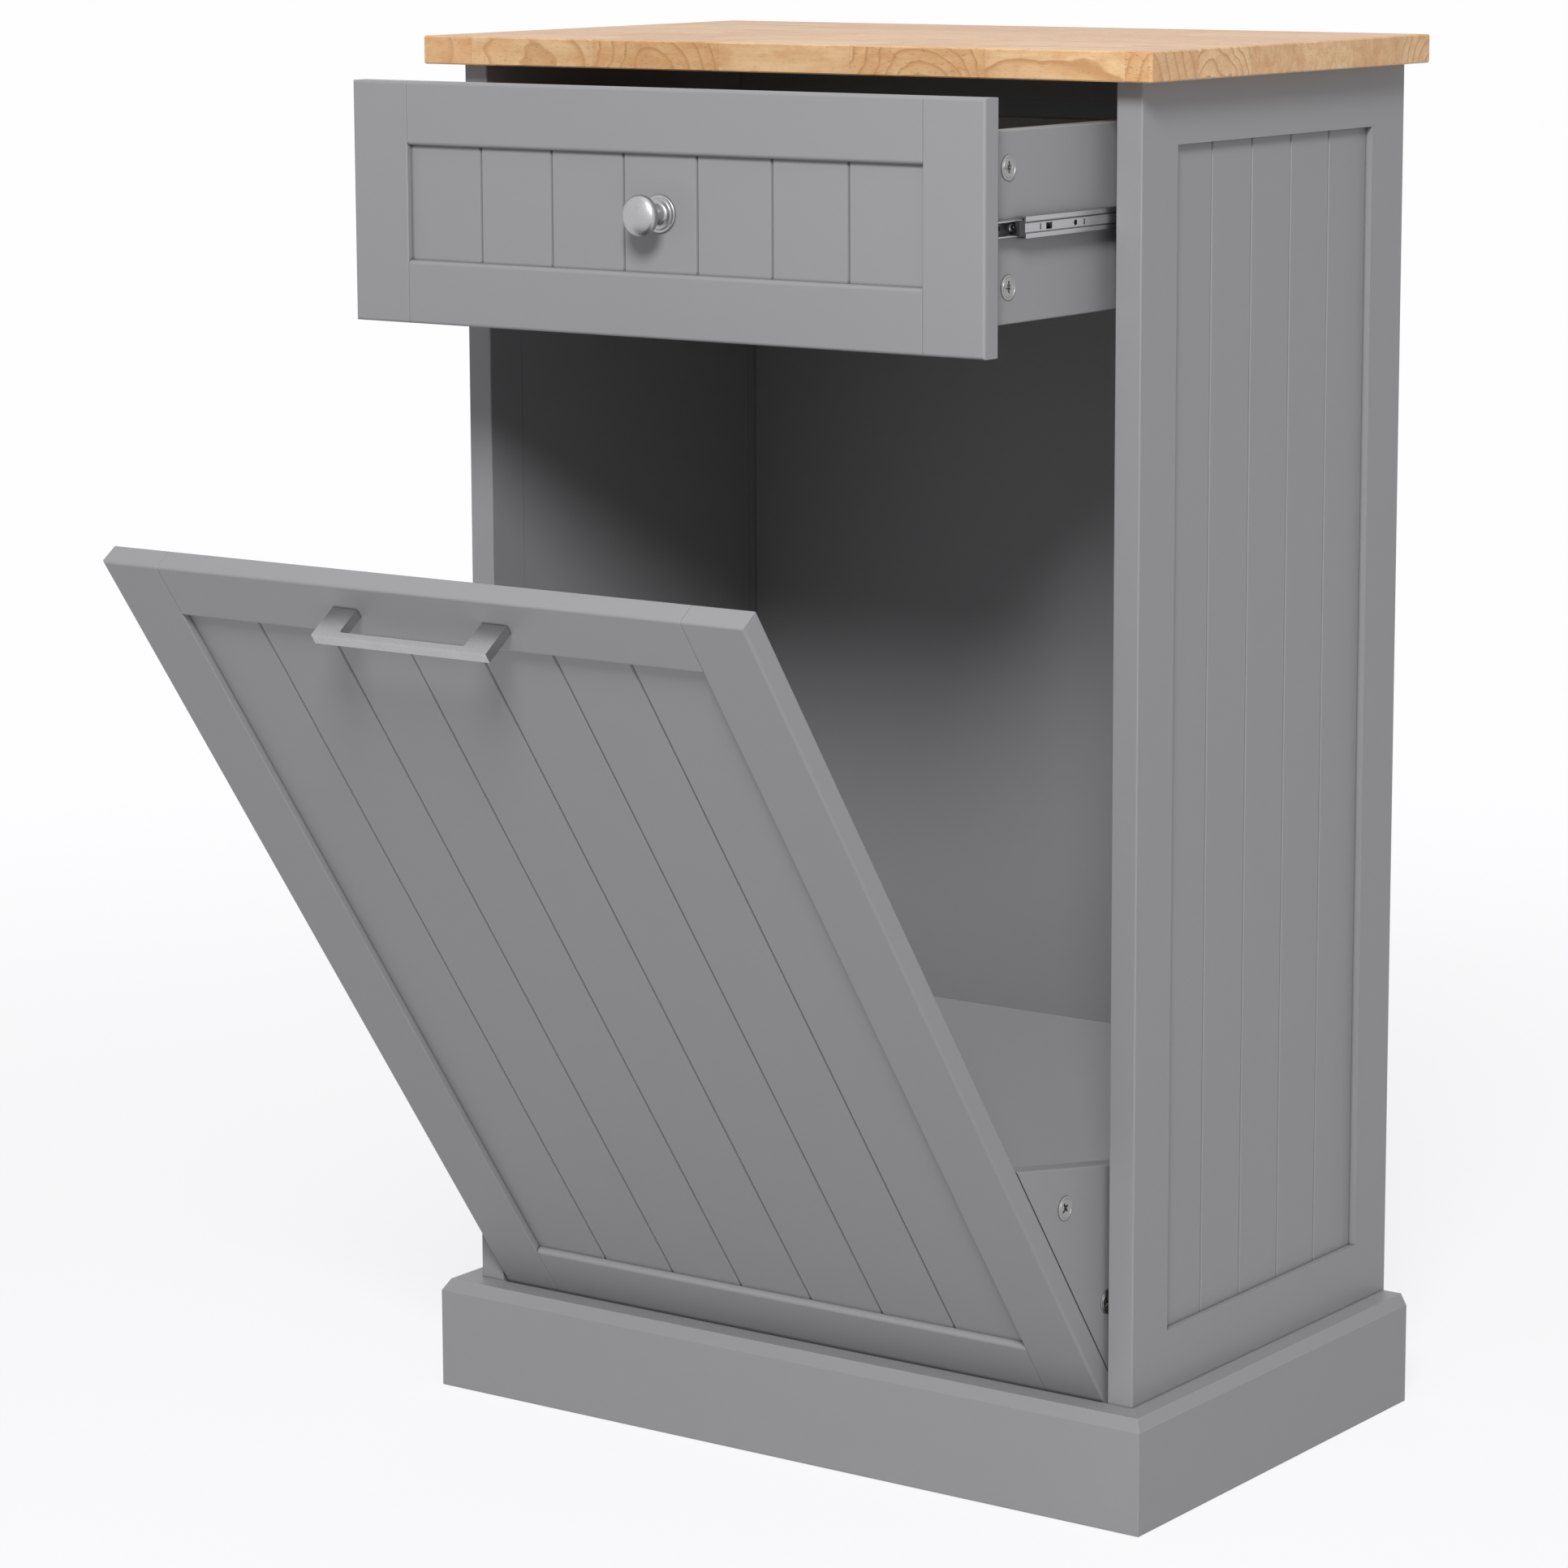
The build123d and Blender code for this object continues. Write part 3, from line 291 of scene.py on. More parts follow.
def jointedWood(r):  # staves glued edge to edge, each of short blocks finger-jointed end to end
    spot = r.place()
    x, y, z = r.parts(spot)
    lane = y / wood["stave"] + wood["laneShift"]
    stave = r.maths("FLOOR", lane)
    across = lane - stave
    start = r.node("ShaderNodeTexWhiteNoise", {"noise_dimensions": "1D"}, {"W": stave * 1.7})
    teeth = wood["toothShare"] * r.maths("PINGPONG", across * wood["teeth"], 1.0)
    run = x / wood["block"] + wood["blockShift"] + start * 0.9 + teeth
    block = r.maths("FLOOR", run)
    along = run - block
    cell = r.joined(stave, block, 0.0)
    chance = r.node("ShaderNodeTexWhiteNoise", {"noise_dimensions": "2D"}, {"Vector": cell}, out=1)
    toneA, toneB, toneC = r.parts(chance)

    # growth rings about a heart that leans differently in every block
    sway = r.noise(r.stretched(spot, wood["swayScale"]), 1, 3, 0.42) - 0.5
    swirl = sway * (0.010 + 0.026 * toneA)
    heartY = (across - 0.5) * wood["stave"] + (toneA - 0.5) * 0.07 + swirl
    heartZ = z - wood["heartHeight"] + (toneB - 0.5) * 0.04
    upward = r.parts(r.facing())[2]
    flatness = 1 - 0.88 * r.maths("ABSOLUTE", upward)  # long grain on the top, arcs on the edges
    heartX = (along - 0.5) * wood["block"] * (0.3 + 0.7 * toneC) * flatness + swirl
    ringAt = r.maths("SQRT", heartY * heartY + heartZ * heartZ + heartX * heartX)
    band = r.maths("FRACT", ringAt * (60 + 95 * toneB) + 3 * toneC)
    blush = band * band * (0.15 + 0.55 * toneB)
    line = r.clamped(band, 0.70, 0.94) * (1 - r.clamped(band, 0.95, 1.0)) * (0.08 + 0.58 * toneB)

    mottle = r.noise(r.stretched(spot, wood["mottleScale"]), 1, 4, 0.65)
    streak = r.noise(r.stretched(spot, wood["streakScale"]), 1, 4, 0.6)
    stripe = r.noise(r.stretched(spot, wood["stripeScale"]), 1, 3, 0.55)
    pores = r.noise(r.stretched(spot, wood["poreScale"]), 1, 1, 0.4)
    pore = r.clamped(pores, 0.62, 0.70) * (0.3 + 0.7 * toneA)
    ripeness = 0.62 * toneC + 0.7 * r.clamped(mottle, 0.35, 0.75) - 0.05
    base = r.tint(ripeness, wood["pale"], wood["honey"])
    blushed = r.tint(blush, base, wood["honey"])
    ringed = r.tint(line, blushed, wood["ring"])
    striped = r.tint(0.30 * r.clamped(stripe, 0.46, 0.66), ringed, wood["honey"])
    streaked = r.tint(0.30 * r.clamped(streak, 0.42, 0.72), striped, wood["honey"])
    dotted = r.tint(pore * 0.5, streaked, wood["pore"])
    nearEdge = r.maths("MINIMUM", across, 1 - across) * wood["stave"]
    nearEnd = r.maths("MINIMUM", along, 1 - along) * wood["block"]
    joint = 1 - r.clamped(r.maths("MINIMUM", nearEdge, nearEnd), 0.0, wood["glueWidth"])
    glued = r.tint(joint * 0.2, dotted, wood["ring"])
    # paler edges: wear and a painted highlight
    colour = r.tint(r.edgeWearAndSheen(wood["wearSheenWidth"], wood["wearSheenStart"]) * 0.3, glued, wood["pale"])
    roughness = wood["roughness"] + 0.10 * (streak - 0.5) + 0.12 * pore
    normal = r.bumped(streak * 0.5 - pore - joint * 0.6, *wood["bump"])
    lacquer = {"Coat Weight": wood["coat"], "Coat Roughness": wood["coatRoughness"]}
    return surface({"Specular IOR Level": wood["gloss"], **lacquer}, colour, roughness, normal)


nickel = {
    "colour": (0.47, 0.47, 0.475),
    # brighter edge colour: wear and a painted highlight
    "bright": (0.74, 0.74, 0.735),
    # dark colour of painted shade in recesses
    "creaseShade": (0.05, 0.05, 0.05),
    "roughness": 0.33,
    "gritScale": 1300,
    "cloudScale": 60,
    "wearSheenWidth": 0.0005,
    "creaseReach": 0.0016,
    "creaseShare": 0.7,
    "bump": (0.00006, 0.5),
}


def satinNickel(r):  # plated, then matted to a fine even grain
    spot = r.place()
    grit = r.noise(spot, nickel["gritScale"], 2, 0.6)
    cloud = r.noise(spot, nickel["cloudScale"], 3)
    matted = r.shaded(0.88 + 0.12 * cloud + 0.34 * (grit - 0.5), nickel["colour"])
    # brighter edges: wear and a painted highlight
    bright = r.tint(r.edgeWearAndSheen(nickel["wearSheenWidth"]) * 0.5, matted, nickel["bright"])
    # painted shade, from ambient occlusion, darkens recesses
    creaseShade = r.paintedCreaseShade(nickel["creaseReach"]) * nickel["creaseShare"]
    colour = r.tint(creaseShade, bright, nickel["creaseShade"])
    roughness = nickel["roughness"] + 0.14 * (grit - 0.5) + 0.06 * cloud
    return surface({"Metallic": 1.0}, colour, roughness, r.bumped(grit, *nickel["bump"]))


zinc = {
    "colour": (0.44, 0.445, 0.46),
    "cast": (0.42, 0.415, 0.38),
    "dull": (0.31, 0.315, 0.325),
    # brighter edge colour: wear and a painted highlight
    "wornSheen": (0.72, 0.72, 0.73),
    # dark colour of painted shade in recesses
    "creaseShade": (0.03, 0.03, 0.032),
    "roughness": 0.34,
    "rolledScale": (1400, 30, 1400),
    "cloudScale": 75,
    "wearSheenWidth": 0.0003,
    "creaseReach": 0.0014,
    "creaseShare": 0.85,
    "bump": (0.00003, 0.4),
}


def zincPlate(r):  # bright zinc plating over rolled strip, with a faint yellow cast in places
    spot = r.place()
    rolled = r.noise(r.stretched(spot, zinc["rolledScale"]), 1, 3, 0.6)
    cloud = r.noise(spot, zinc["cloudScale"], 3, 0.6)
    cast = r.tint(r.clamped(cloud, 0.52, 0.75) * 0.5, zinc["colour"], zinc["cast"])
    plated = r.tint(0.35 * rolled, cast, zinc["dull"])
    # brighter edges: wear and a painted highlight
    wornSheen = r.tint(r.edgeWearAndSheen(zinc["wearSheenWidth"]) * 0.5, plated, zinc["wornSheen"])
    # painted shade, from ambient occlusion, darkens recesses
    creaseShade = r.paintedCreaseShade(zinc["creaseReach"]) * zinc["creaseShare"]
    colour = r.tint(creaseShade, wornSheen, zinc["creaseShade"])
    roughness = zinc["roughness"] + 0.16 * (rolled - 0.5) + 0.10 * (cloud - 0.5)
    return surface({"Metallic": 1.0}, colour, roughness, r.bumped(rolled, *zinc["bump"]))


castMetal = {
    "dull": (0.30, 0.30, 0.296),
    "pale": (0.38, 0.38, 0.373),
    # brighter rim colour: wear and a painted highlight
    "rim": (0.74, 0.74, 0.725),
    # dark colour of painted shade in recesses
    "creaseShade": (0.03, 0.03, 0.03),
    "roughness": 0.34,
    "grainScale": 1500,
    "cloudScale": 190,
    "wearSheenWidth": 0.0005,
    "creaseReach": 0.0016,
    "creaseShare": 0.85,
    "bump": (0.00004, 0.5),
}


def castZinc(r):  # die-cast locks, tumbled: soft grain, brighter on the rims from wear and a painted highlight, painted shade in the recesses
    spot = r.place()
    grain = r.noise(spot, castMetal["grainScale"], 3, 0.6)
    cloud = r.noise(spot, castMetal["cloudScale"])
    tumbled = r.tint(cloud, castMetal["dull"], castMetal["pale"])
    # brighter rims: wear and a painted highlight
    wornSheen = r.tint(r.edgeWearAndSheen(castMetal["wearSheenWidth"]) * 0.6, tumbled, castMetal["rim"])
    # painted shade, from ambient occlusion, darkens recesses
    creaseShade = r.paintedCreaseShade(castMetal["creaseReach"]) * castMetal["creaseShare"]
    colour = r.tint(creaseShade, wornSheen, castMetal["creaseShade"])
    roughness = castMetal["roughness"] + 0.16 * grain
    return surface({"Metallic": 1.0}, colour, roughness, r.bumped(grain, *castMetal["bump"]))


plastic = {"gloss": 0.45, "grainScale": 2200, "cloudScale": 120, "bump": (0.00004, 0.5)}


def moulded(dark, light, roughness):  # plastic with a spark-eroded skin
    def build(r):
        spot = r.place()
        grain = r.noise(spot, plastic["grainScale"], 2, 0.6)
        cloud = r.noise(spot, plastic["cloudScale"])
        colour = r.tint(0.6 * cloud + 0.4 * grain, dark, light)
        normal = r.bumped(grain, *plastic["bump"])
        gloss = {"Specular IOR Level": plastic["gloss"]}
        return surface(gloss, colour, roughness + 0.14 * (grain - 0.5), normal)

    return build


beechwood = {
    "dark": (0.66, 0.44, 0.26),
    "light": (0.78, 0.58, 0.38),
    "fleck": (0.40, 0.22, 0.11),
    "roughness": 0.62,
    "gloss": 0.3,
    "grainScale": (60, 900, 900),
    "fleckScale": (500, 1600, 1600),
    "bump": (0.00008, 0.4),
}


def beech(r):  # bare turned beech with its short dark flecks
    spot = r.place()
    grain = r.noise(r.stretched(spot, beechwood["grainScale"]), 1, 4, 0.6)
    fleck = r.clamped(r.noise(r.stretched(spot, beechwood["fleckScale"]), 1, 1), 0.62, 0.7)
    base = r.tint(grain, beechwood["dark"], beechwood["light"])
    colour = r.tint(fleck * 0.5, base, beechwood["fleck"])
    roughness = beechwood["roughness"] + 0.1 * (grain - 0.5)
    normal = r.bumped(grain, *beechwood["bump"])
    return surface({"Specular IOR Level": beechwood["gloss"]}, colour, roughness, normal)


finishes = {
    "grey_paint": finish("satinGreyPaint", greyPaint),
    "plywood": finish("paintedThinBoard", paintedPly),
    "worktop_wood": finish("lacqueredJointedWood", jointedWood),
    "satin_nickel": finish("satinNickel", satinNickel),
    "zinc_plate": finish("brightZinc", zincPlate),
    "cam_metal": finish("castZinc", castZinc),
    "black_plastic": finish("blackPlastic", moulded((0.012, 0.012, 0.013), (0.03, 0.03, 0.032), 0.5)),
    "white_plastic": finish("whitePlastic", moulded((0.66, 0.66, 0.64), (0.76, 0.76, 0.735), 0.42)),
    "beech_dowel": finish("turnedBeech", beech),
}
slotOf = {row["node"]: row["material_slot"] for row in frame["record"]["subparts"]}
for name, cadNode in frame["nodes"].items():
    cadNode.data.materials.clear()
    cadNode.data.materials.append(finishes[slotOf[name]])
print("finishes on", len(slotOf), "nodes")


# Turned and pocketed pieces. A form stands on its own axis: +Z is the way out, its outer end at z = 0.
thread = {"ringsPerTurn": 6, "fadeRings": 3, "ridgeShare": 0.32}


class Form:
    def __init__(self, sides=0):
        self.sides = sides
        self.points = []
        self.faces = []
        self.row = None

    def ring(self, radius, z):  # joins on to the ring before it
        start = len(self.points)
        for i in range(self.sides):
            angle = 2 * math.pi * i / self.sides
            r = radius(angle) if callable(radius) else radius
            self.points.append(Vector((r * math.cos(angle), r * math.sin(angle), z)))
        row = [start + i for i in range(self.sides)]
        if self.row:
            for i in range(self.sides):
                j = (i + 1) % self.sides
                self.faces.append((self.row[i], self.row[j], row[j], row[i]))
        self.row = row
        return row

    def turned(self, profile):
        for radius, z in profile:
            self.ring(radius, z)

    def tipped(self, radius):  # a flat outer end
        self.faces.append(tuple(reversed(self.ring(radius, 0.0))))

    def closed(self):
        self.faces.append(tuple(self.row))
        self.row = None

    def filled(self, loops):  # a flat face inside the first loop, round the others
        flat = [i for loop in loops for i in loop]
        for face in tessellate_polygon([[self.points[i] for i in loop] for loop in loops]):
            self.faces.append(tuple(flat[i] for i in face))

    def topped(self, rim, z, pockets):  # outer face with tapering pockets: outline, depth, share left
        loops = [rim]
        for outline, depth, share in pockets:
            middle = sum((Vector(p) for p in outline), Vector((0, 0))) / len(outline)
            count = len(outline)
            start = len(self.points)
            self.points += [Vector((*p, z)) for p in outline]
            narrow = [middle + (Vector(p) - middle) * share for p in outline]
            self.points += [Vector((*p, z - depth)) for p in narrow]
            upper = [start + i for i in range(count)]
            lower = [start + count + i for i in range(count)]
            for i in range(count):
                j = (i + 1) % count
                self.faces.append((upper[i], upper[j], lower[j], lower[i]))
            self.filled([lower])
            loops.append(upper)
        self.filled(loops)

    def threaded(self, radius, start, end, pitch, depth):  # helical ridges, down a shank
        steps = max(2, round((start - end) / pitch * thread["ringsPerTurn"]))
        for i in range(steps + 1):
            z = start + (end - start) * i / steps
            fade = min(1.0, i / thread["fadeRings"], (steps - i) / thread["fadeRings"])

            def ridge(angle, z=z, fade=fade):
                turn = (z / pitch - angle / (2 * math.pi)) % 1
                height = max(0.0, 1 - abs(turn - 0.5) / thread["ridgeShare"])
                return radius - depth + depth * fade * height

            self.ring(ridge, z)


def starOutline(arms):  # arms round a middle, each with its length and half width
    corners = []
    step = 2 * math.pi / len(arms)
    for i, (length, half) in enumerate(arms):
        way = Vector((math.cos(step * i), math.sin(step * i)))
        side = Vector((-way.y, way.x))
        nextHalf = arms[(i + 1) % len(arms)][1]
        meeting = (nextHalf + half * math.cos(step)) / math.sin(step)
        corners += [way * length - side * half, way * length + side * half]
        corners.append(way * meeting + side * half)
    return corners


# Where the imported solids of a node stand: each one's place, way out, length and radius
seating = {"weld": 0.000004, "sameWay": 0.99, "endDepth": 0.00005}


def looseSolids(name):  # the points and faces of each
    form = bmesh.new()
    form.from_mesh(frame["nodes"][name].data)
    bmesh.ops.remove_doubles(form, verts=form.verts, dist=seating["weld"])
    form.normal_update()
    found = []
    for first in form.verts:
        if first.tag:
            continue
        first.tag = True
        waiting, group, faces = [first], [], {}
        while waiting:
            corner = waiting.pop()
            group.append(corner.co.copy())
            for face in corner.link_faces:
                middle = face.calc_center_median()
                faces[tuple(middle)] = (face.normal.copy(), face.calc_area(), middle)
            for edge in corner.link_edges:
                far = edge.other_vert(corner)
                if not far.tag:
                    far.tag = True
                    waiting.append(far)
        found.append((group, list(faces.values())))
    form.free()
    return found


def seatOf(points, faces, flat, near):  # the axis has a flat one's largest faces, else the most reach
    ways = {}
    for normal, area, middle in faces:
        key = tuple(round(c, 2) + 0.0 for c in normal)
        ways[key] = ways.get(key, Vector()) + normal * area

    def reach(way):
        along = [p.dot(way) for p in points]
        return max(along) - min(along)

    def worth(key):
        return ways[key].length if flat else reach(ways[key].normalized())

    def endArea(way):
        level = max(p.dot(way) for p in points) - seating["endDepth"]
        return sum(a for n, a, m in faces if n.dot(way) > seating["sameWay"] and m.dot(way) > level)

    axis = ways[max(sorted(ways), key=worth)].normalized()
    middle = sum(points, Vector()) / len(points)
    if near is not None:
        out = axis if (near - middle).dot(axis) > 0 else -axis
    elif flat:
        out = axis if endArea(axis) < endArea(-axis) else -axis
    else:
        out = axis if endArea(axis) > endArea(-axis) else -axis
    side = out.orthogonal().normalized()
    up = out.cross(side)
    place = out * max(p.dot(out) for p in points)
    for way in (side, up):
        along = [p.dot(way) for p in points]
        place += way * (max(along) + min(along)) / 2
    radius = max((p - place - out * (p - place).dot(out)).length for p in points)
    return place, out, reach(out), radius


def seatsOf(name, flat=False, partners=None):
    seats = []
    for points, faces in looseSolids(name):
        near = None
        if partners:
            middle = sum(points, Vector()) / len(points)
            near = min((seat[0] for seat in partners), key=lambda place: (place - middle).length)
        seats.append(seatOf(points, faces, flat, near))
    return seats


def standing(place, out, aim=None):
    aim = out.orthogonal() if aim is None else aim
    side = (aim - out * aim.dot(out)).normalized()
    up = out.cross(side)
    return Matrix.Translation(place) @ Matrix((side, up, out)).transposed().to_4x4()


meshing = {"weld": 0.0000005, "smoothBelow": 38}


def addPiece(name, node, forms, smoothBelow=meshing["smoothBelow"]):
    points, faces = [], []
    for form, matrix in forms:
        start = len(points)
        points += [matrix @ p for p in form.points]
        faces += [tuple(start + i for i in face) for face in form.faces]
    mesh = bpy.data.meshes.new(name)
    mesh.from_pydata(points, [], faces)
    whole = bmesh.new()
    whole.from_mesh(mesh)
    bmesh.ops.remove_doubles(whole, verts=whole.verts, dist=meshing["weld"])
    bmesh.ops.recalc_face_normals(whole, faces=whole.faces)
    whole.to_mesh(mesh)
    whole.free()
    mesh.polygons.foreach_set("use_smooth", [True] * len(mesh.polygons))
    mesh.set_sharp_from_angle(angle=math.radians(smoothBelow))
    mesh.materials.append(finishes[slotOf[node]])
    piece = bpy.data.objects.new(name, mesh)
    bpy.context.scene.collection.objects.link(piece)
    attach(piece, body_of(frame["nodes"][node])[0])
    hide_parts(node)


# Screws, with cross recesses and threads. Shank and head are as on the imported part.
screwKinds = {
    "cabinet_slide_screws": {"piece": "cabinetSlideScrews", "shank": 0.0015, "head": 0.0013},
    "drawer_slide_screws": {"piece": "drawerSlideScrews", "shank": 0.0015, "head": 0.0013},
    "plinth_screws": {"piece": "plinthScrews", "shank": 0.002, "head": 0.0024},
    "knob_screw": {"piece": "knobScrew", "shank": 0.002, "head": 0.0024},
    "handle_screws": {"piece": "handleScrews", "shank": 0.002, "head": 0.0024},
    "drawer_box_screws": {"piece": "drawerBoxScrews", "shank": 0.002, "head": 0.002, "sunk": True},
    "tray_screws": {"piece": "trayScrews", "shank": 0.002, "head": 0.002, "sunk": True},
}
panHead = [(0.60, 0.0), (0.80, 0.07), (0.93, 0.25), (1.0, 0.55), (1.0, 0.88), (0.96, 1.0)]
sunkHead = [(0.86, 0.0), (0.97, 0.02), (1.0, 0.06), (0.985, 0.12)]
# Shares: the arm of the head's radius, the cross of its arm, the shank of its own radius. The cross's
# greatest depth and the places of neck and thread are in metres.
screw = {
    "sides": 24,
    "arm": 0.5,
    "armHalf": 0.24,
    "notch": 0.42,
    "notchHalf": 0.10,
    "crossShare": 0.62,
    "crossMost": 0.0012,
    "crossFloor": 0.45,
    "neck": 0.96,
    "neckBelow": 0.0002,
    "threadBelow": 0.0004,
    "runOut": 0.9,
    "pitch": 0.72,
    "threadDepth": 0.24,
    "tip": 0.3,
    "firstTurn": 0.35,
    "nextTurn": 0.9,
}


def makeScrew(kind, length, radius):
    form = Form(screw["sides"])
    shank, head = kind["shank"], kind["head"]
    sunk = "sunk" in kind
    profile = sunkHead if sunk else panHead
    rim = form.ring(radius * profile[0][0], 0.0)
    form.turned([(radius * r, -head * h) for r, h in profile[1:]])
    if not sunk:
        form.ring(shank, -head)
    arm = screw["arm"] * radius
    arms = [(arm, arm * screw["armHalf"]), (arm * screw["notch"], arm * screw["notchHalf"])] * 4
    depth = min(screw["crossShare"] * head, screw["crossMost"])
    form.topped(rim, 0.0, [(starOutline(arms), depth, screw["crossFloor"])])
    form.ring(shank * screw["neck"], -head - screw["neckBelow"])
    start, end = -head - screw["threadBelow"], -length + shank * screw["runOut"]
    form.threaded(shank, start, end, shank * screw["pitch"], shank * screw["threadDepth"])
    form.ring(shank * screw["tip"], -length)
    form.closed()
    return form


def makeScrews():
    for node, kind in screwKinds.items():
        forms = []
        for i, (place, out, length, radius) in enumerate(seatsOf(node)):
            turn = Matrix.Rotation(screw["nextTurn"] * i + screw["firstTurn"], 4, "Z")
            forms.append((makeScrew(kind, length, radius), standing(place, out) @ turn))
        addPiece(kind["piece"], node, forms)


# Cam locks and their bolts
camLock = {
    "sides": 48,
    "face": [(0.965, 0.0), (0.86, 0.0), (0.84, 0.00022), (0.79, 0.00022), (0.77, 0.0)],
    "arm": 0.0039,
    "armHalf": 0.00085,
    "notch": 0.0026,
    "notchHalf": 0.0003,
    "crossDepth": 0.0016,
    "crossFloor": 0.6,
    "arrow": [(0.0057, 0.0), (0.0048, 0.0006), (0.0048, -0.0006)],
    "arrowDepth": 0.00025,
    "arrowFloor": 0.7,
    "edge": 0.035,
    "hollow": (0.22, 0.23, 0.80, 0.81),
    "hollowRadius": 0.5,
    "hollowHalf": 0.45,
}
camBolt = {
    "sides": 20,
    "tip": 0.35,
    "neck": [(0.80, 0.0003), (1.0, 0.0011), (1.0, 0.0018), (0.78, 0.0026), (0.58, 0.0032),
             (0.58, 0.0062), (0.72, 0.0068)],
    "collar": [(0.72, 0.62), (1.0, 0.63), (1.0, 0.68)],
    "threadFrom": 0.69,
    "runOut": 0.0008,
    "pitch": 0.0011,
    "threadDepth": 0.2,
    "end": 0.5,
}
lockNodes = [
    ("drawer_cam_locks", "drawer_cam_bolts", "drawerCamLocks", "drawerCamBolts"),
    ("tray_cam_locks", "tray_cam_bolts", "trayCamLocks", "trayCamBolts"),
    ("carcass_cam_locks", "carcass_cam_bolts", "carcassCamLocks", "carcassCamBolts"),
]


def makeLock(length, radius):
    form = Form(camLock["sides"])
    rows = [form.ring(radius * r, -h) for r, h in reversed(camLock["face"])]
    edge = radius * camLock["edge"]
    above, top, bottom, below = (-length * share for share in camLock["hollow"])

    def cut(angle):  # room for the bolt's neck
        away = abs((angle + math.pi) % (2 * math.pi) - math.pi)
        return radius * (camLock["hollowRadius"] if away < camLock["hollowHalf"] else 1.0)

    form.turned([(radius, -edge), (radius, above), (cut, top), (cut, bottom), (radius, below)])
    form.turned([(radius, -length + edge), (radius - edge, -length)])
    form.closed()
    arms = [(camLock["arm"], camLock["armHalf"]), (camLock["notch"], camLock["notchHalf"])] * 4
    cross = (starOutline(arms), camLock["crossDepth"], camLock["crossFloor"])
    arrow = (camLock["arrow"], camLock["arrowDepth"], camLock["arrowFloor"])
    form.topped(rows[0], 0.0, [cross, arrow])
    return form


def makeBolt(length, radius):
    form = Form(camBolt["sides"])
    form.tipped(radius * camBolt["tip"])
    form.turned([(radius * r, -h) for r, h in camBolt["neck"]])
    form.turned([(radius * r, -length * share) for r, share in camBolt["collar"]])
    start, end = -length * camBolt["threadFrom"], -length + camBolt["runOut"]
    form.threaded(radius, start, end, camBolt["pitch"], radius * camBolt["threadDepth"])
    form.ring(radius * camBolt["end"], -length)
    form.closed()
    return form


def makeLocks():
    for lockNode, boltNode, lockName, boltName in lockNodes:
        locks = seatsOf(lockNode, flat=True)
        bolts = seatsOf(boltNode, partners=locks)
        forms = []
        for place, out, length, radius in locks:
            nearest = min(bolts, key=lambda bolt: (bolt[0] - place).length)
            aim = nearest[0] - nearest[1] * nearest[2] - place
            forms.append((makeLock(length, radius), standing(place, out, aim)))
        addPiece(lockName, lockNode, forms)
        addPiece(boltName, boltNode, [(makeBolt(b[2], b[3]), standing(b[0], b[1])) for b in bolts])


# Fluted dowels
dowel = {"flutes": 14, "sidesPerFlute": 3, "depth": 0.06, "ease": 0.0009, "end": 0.75}


def makeDowels():
    forms = []
    for place, out, length, radius in seatsOf("carcass_dowels"):
        form = Form(dowel["flutes"] * dowel["sidesPerFlute"])

        def fluted(angle, radius=radius):
            wave = 0.5 + 0.5 * math.cos(angle * dowel["flutes"])
            return radius * (1 - dowel["depth"] * wave)

        form.tipped(radius * dowel["end"])
        form.turned([(fluted, -dowel["ease"]), (fluted, -length + dowel["ease"])])
        form.ring(radius * dowel["end"], -length)
        form.closed()
        forms.append((form, standing(place, out)))
    addPiece("carcassDowels", "carcass_dowels", forms)


# Drawer knob: stepped rose, waisted neck and a lens-shaped head, turned in one. In millimetres.
knob = {
    "sides": 72,
    "rose": [(11.0, 0.0), (11.5, 0.35), (11.5, 0.95), (11.2, 1.3), (10.7, 1.4), (9.7, 1.4), (9.45, 1.55),
             (9.5, 1.9), (9.3, 2.25), (8.9, 2.4), (7.3, 2.4)],
    "footAt": 2.7,
    "neckFoot": 6.5,
    "neckTop": 5.9,
    "waist": 5.0,
    "waistAt": 8.5,
    "flare": 2.2,
    "middle": 19.8,
    "half": 6.2,
    "reach": 12.6,
    "rim": 4.2,
    "tip": 0.02,
    "neckSteps": 8,
    "backSteps": 8,
    "rimSteps": 16,
    "frontSteps": 12,
    "smoothBelow": 50,
}


def knobProfile():
    line = list(knob["rose"])
    half, rim, middle = knob["half"], knob["rim"], knob["middle"]
    waist, waistAt, footAt = knob["waist"], knob["waistAt"], knob["footAt"]
    inner = knob["reach"] - rim
    # each dome is a ball's cap that runs smoothly into the rim
    low = (inner ** 2 - (half - rim) ** 2) / (2 * (half - rim))
    ball = half + low
    lean = math.atan2(inner, low)
    start = math.asin(knob["neckTop"] / ball)
    topAt = middle + low - math.sqrt(ball ** 2 - knob["neckTop"] ** 2)
    for i in range(knob["neckSteps"] + 1):
        h = footAt + (topAt - footAt) * (i / knob["neckSteps"])
        endAt, end = (footAt, knob["neckFoot"]) if h < waistAt else (topAt, knob["neckTop"])
        line.append((waist + (end - waist) * ((h - waistAt) / (endAt - waistAt)) ** knob["flare"], h))
    for i in range(knob["backSteps"]):  # back dome, out to the rim
        a = start + (lean - start) * (i + 1) / knob["backSteps"]
        line.append((ball * math.sin(a), middle + low - ball * math.cos(a)))
    for i in range(knob["rimSteps"]):  # round the rim
        a = math.pi - lean + (2 * lean - math.pi) * (i + 1) / knob["rimSteps"]
        line.append((inner + rim * math.sin(a), middle + rim * math.cos(a)))
    for i in range(knob["frontSteps"]):  # front dome, in to the middle
        a = lean * (1 - (i + 1) / knob["frontSteps"])
        line.append((max(ball * math.sin(a), knob["tip"]), middle - low + ball * math.cos(a)))
    return line


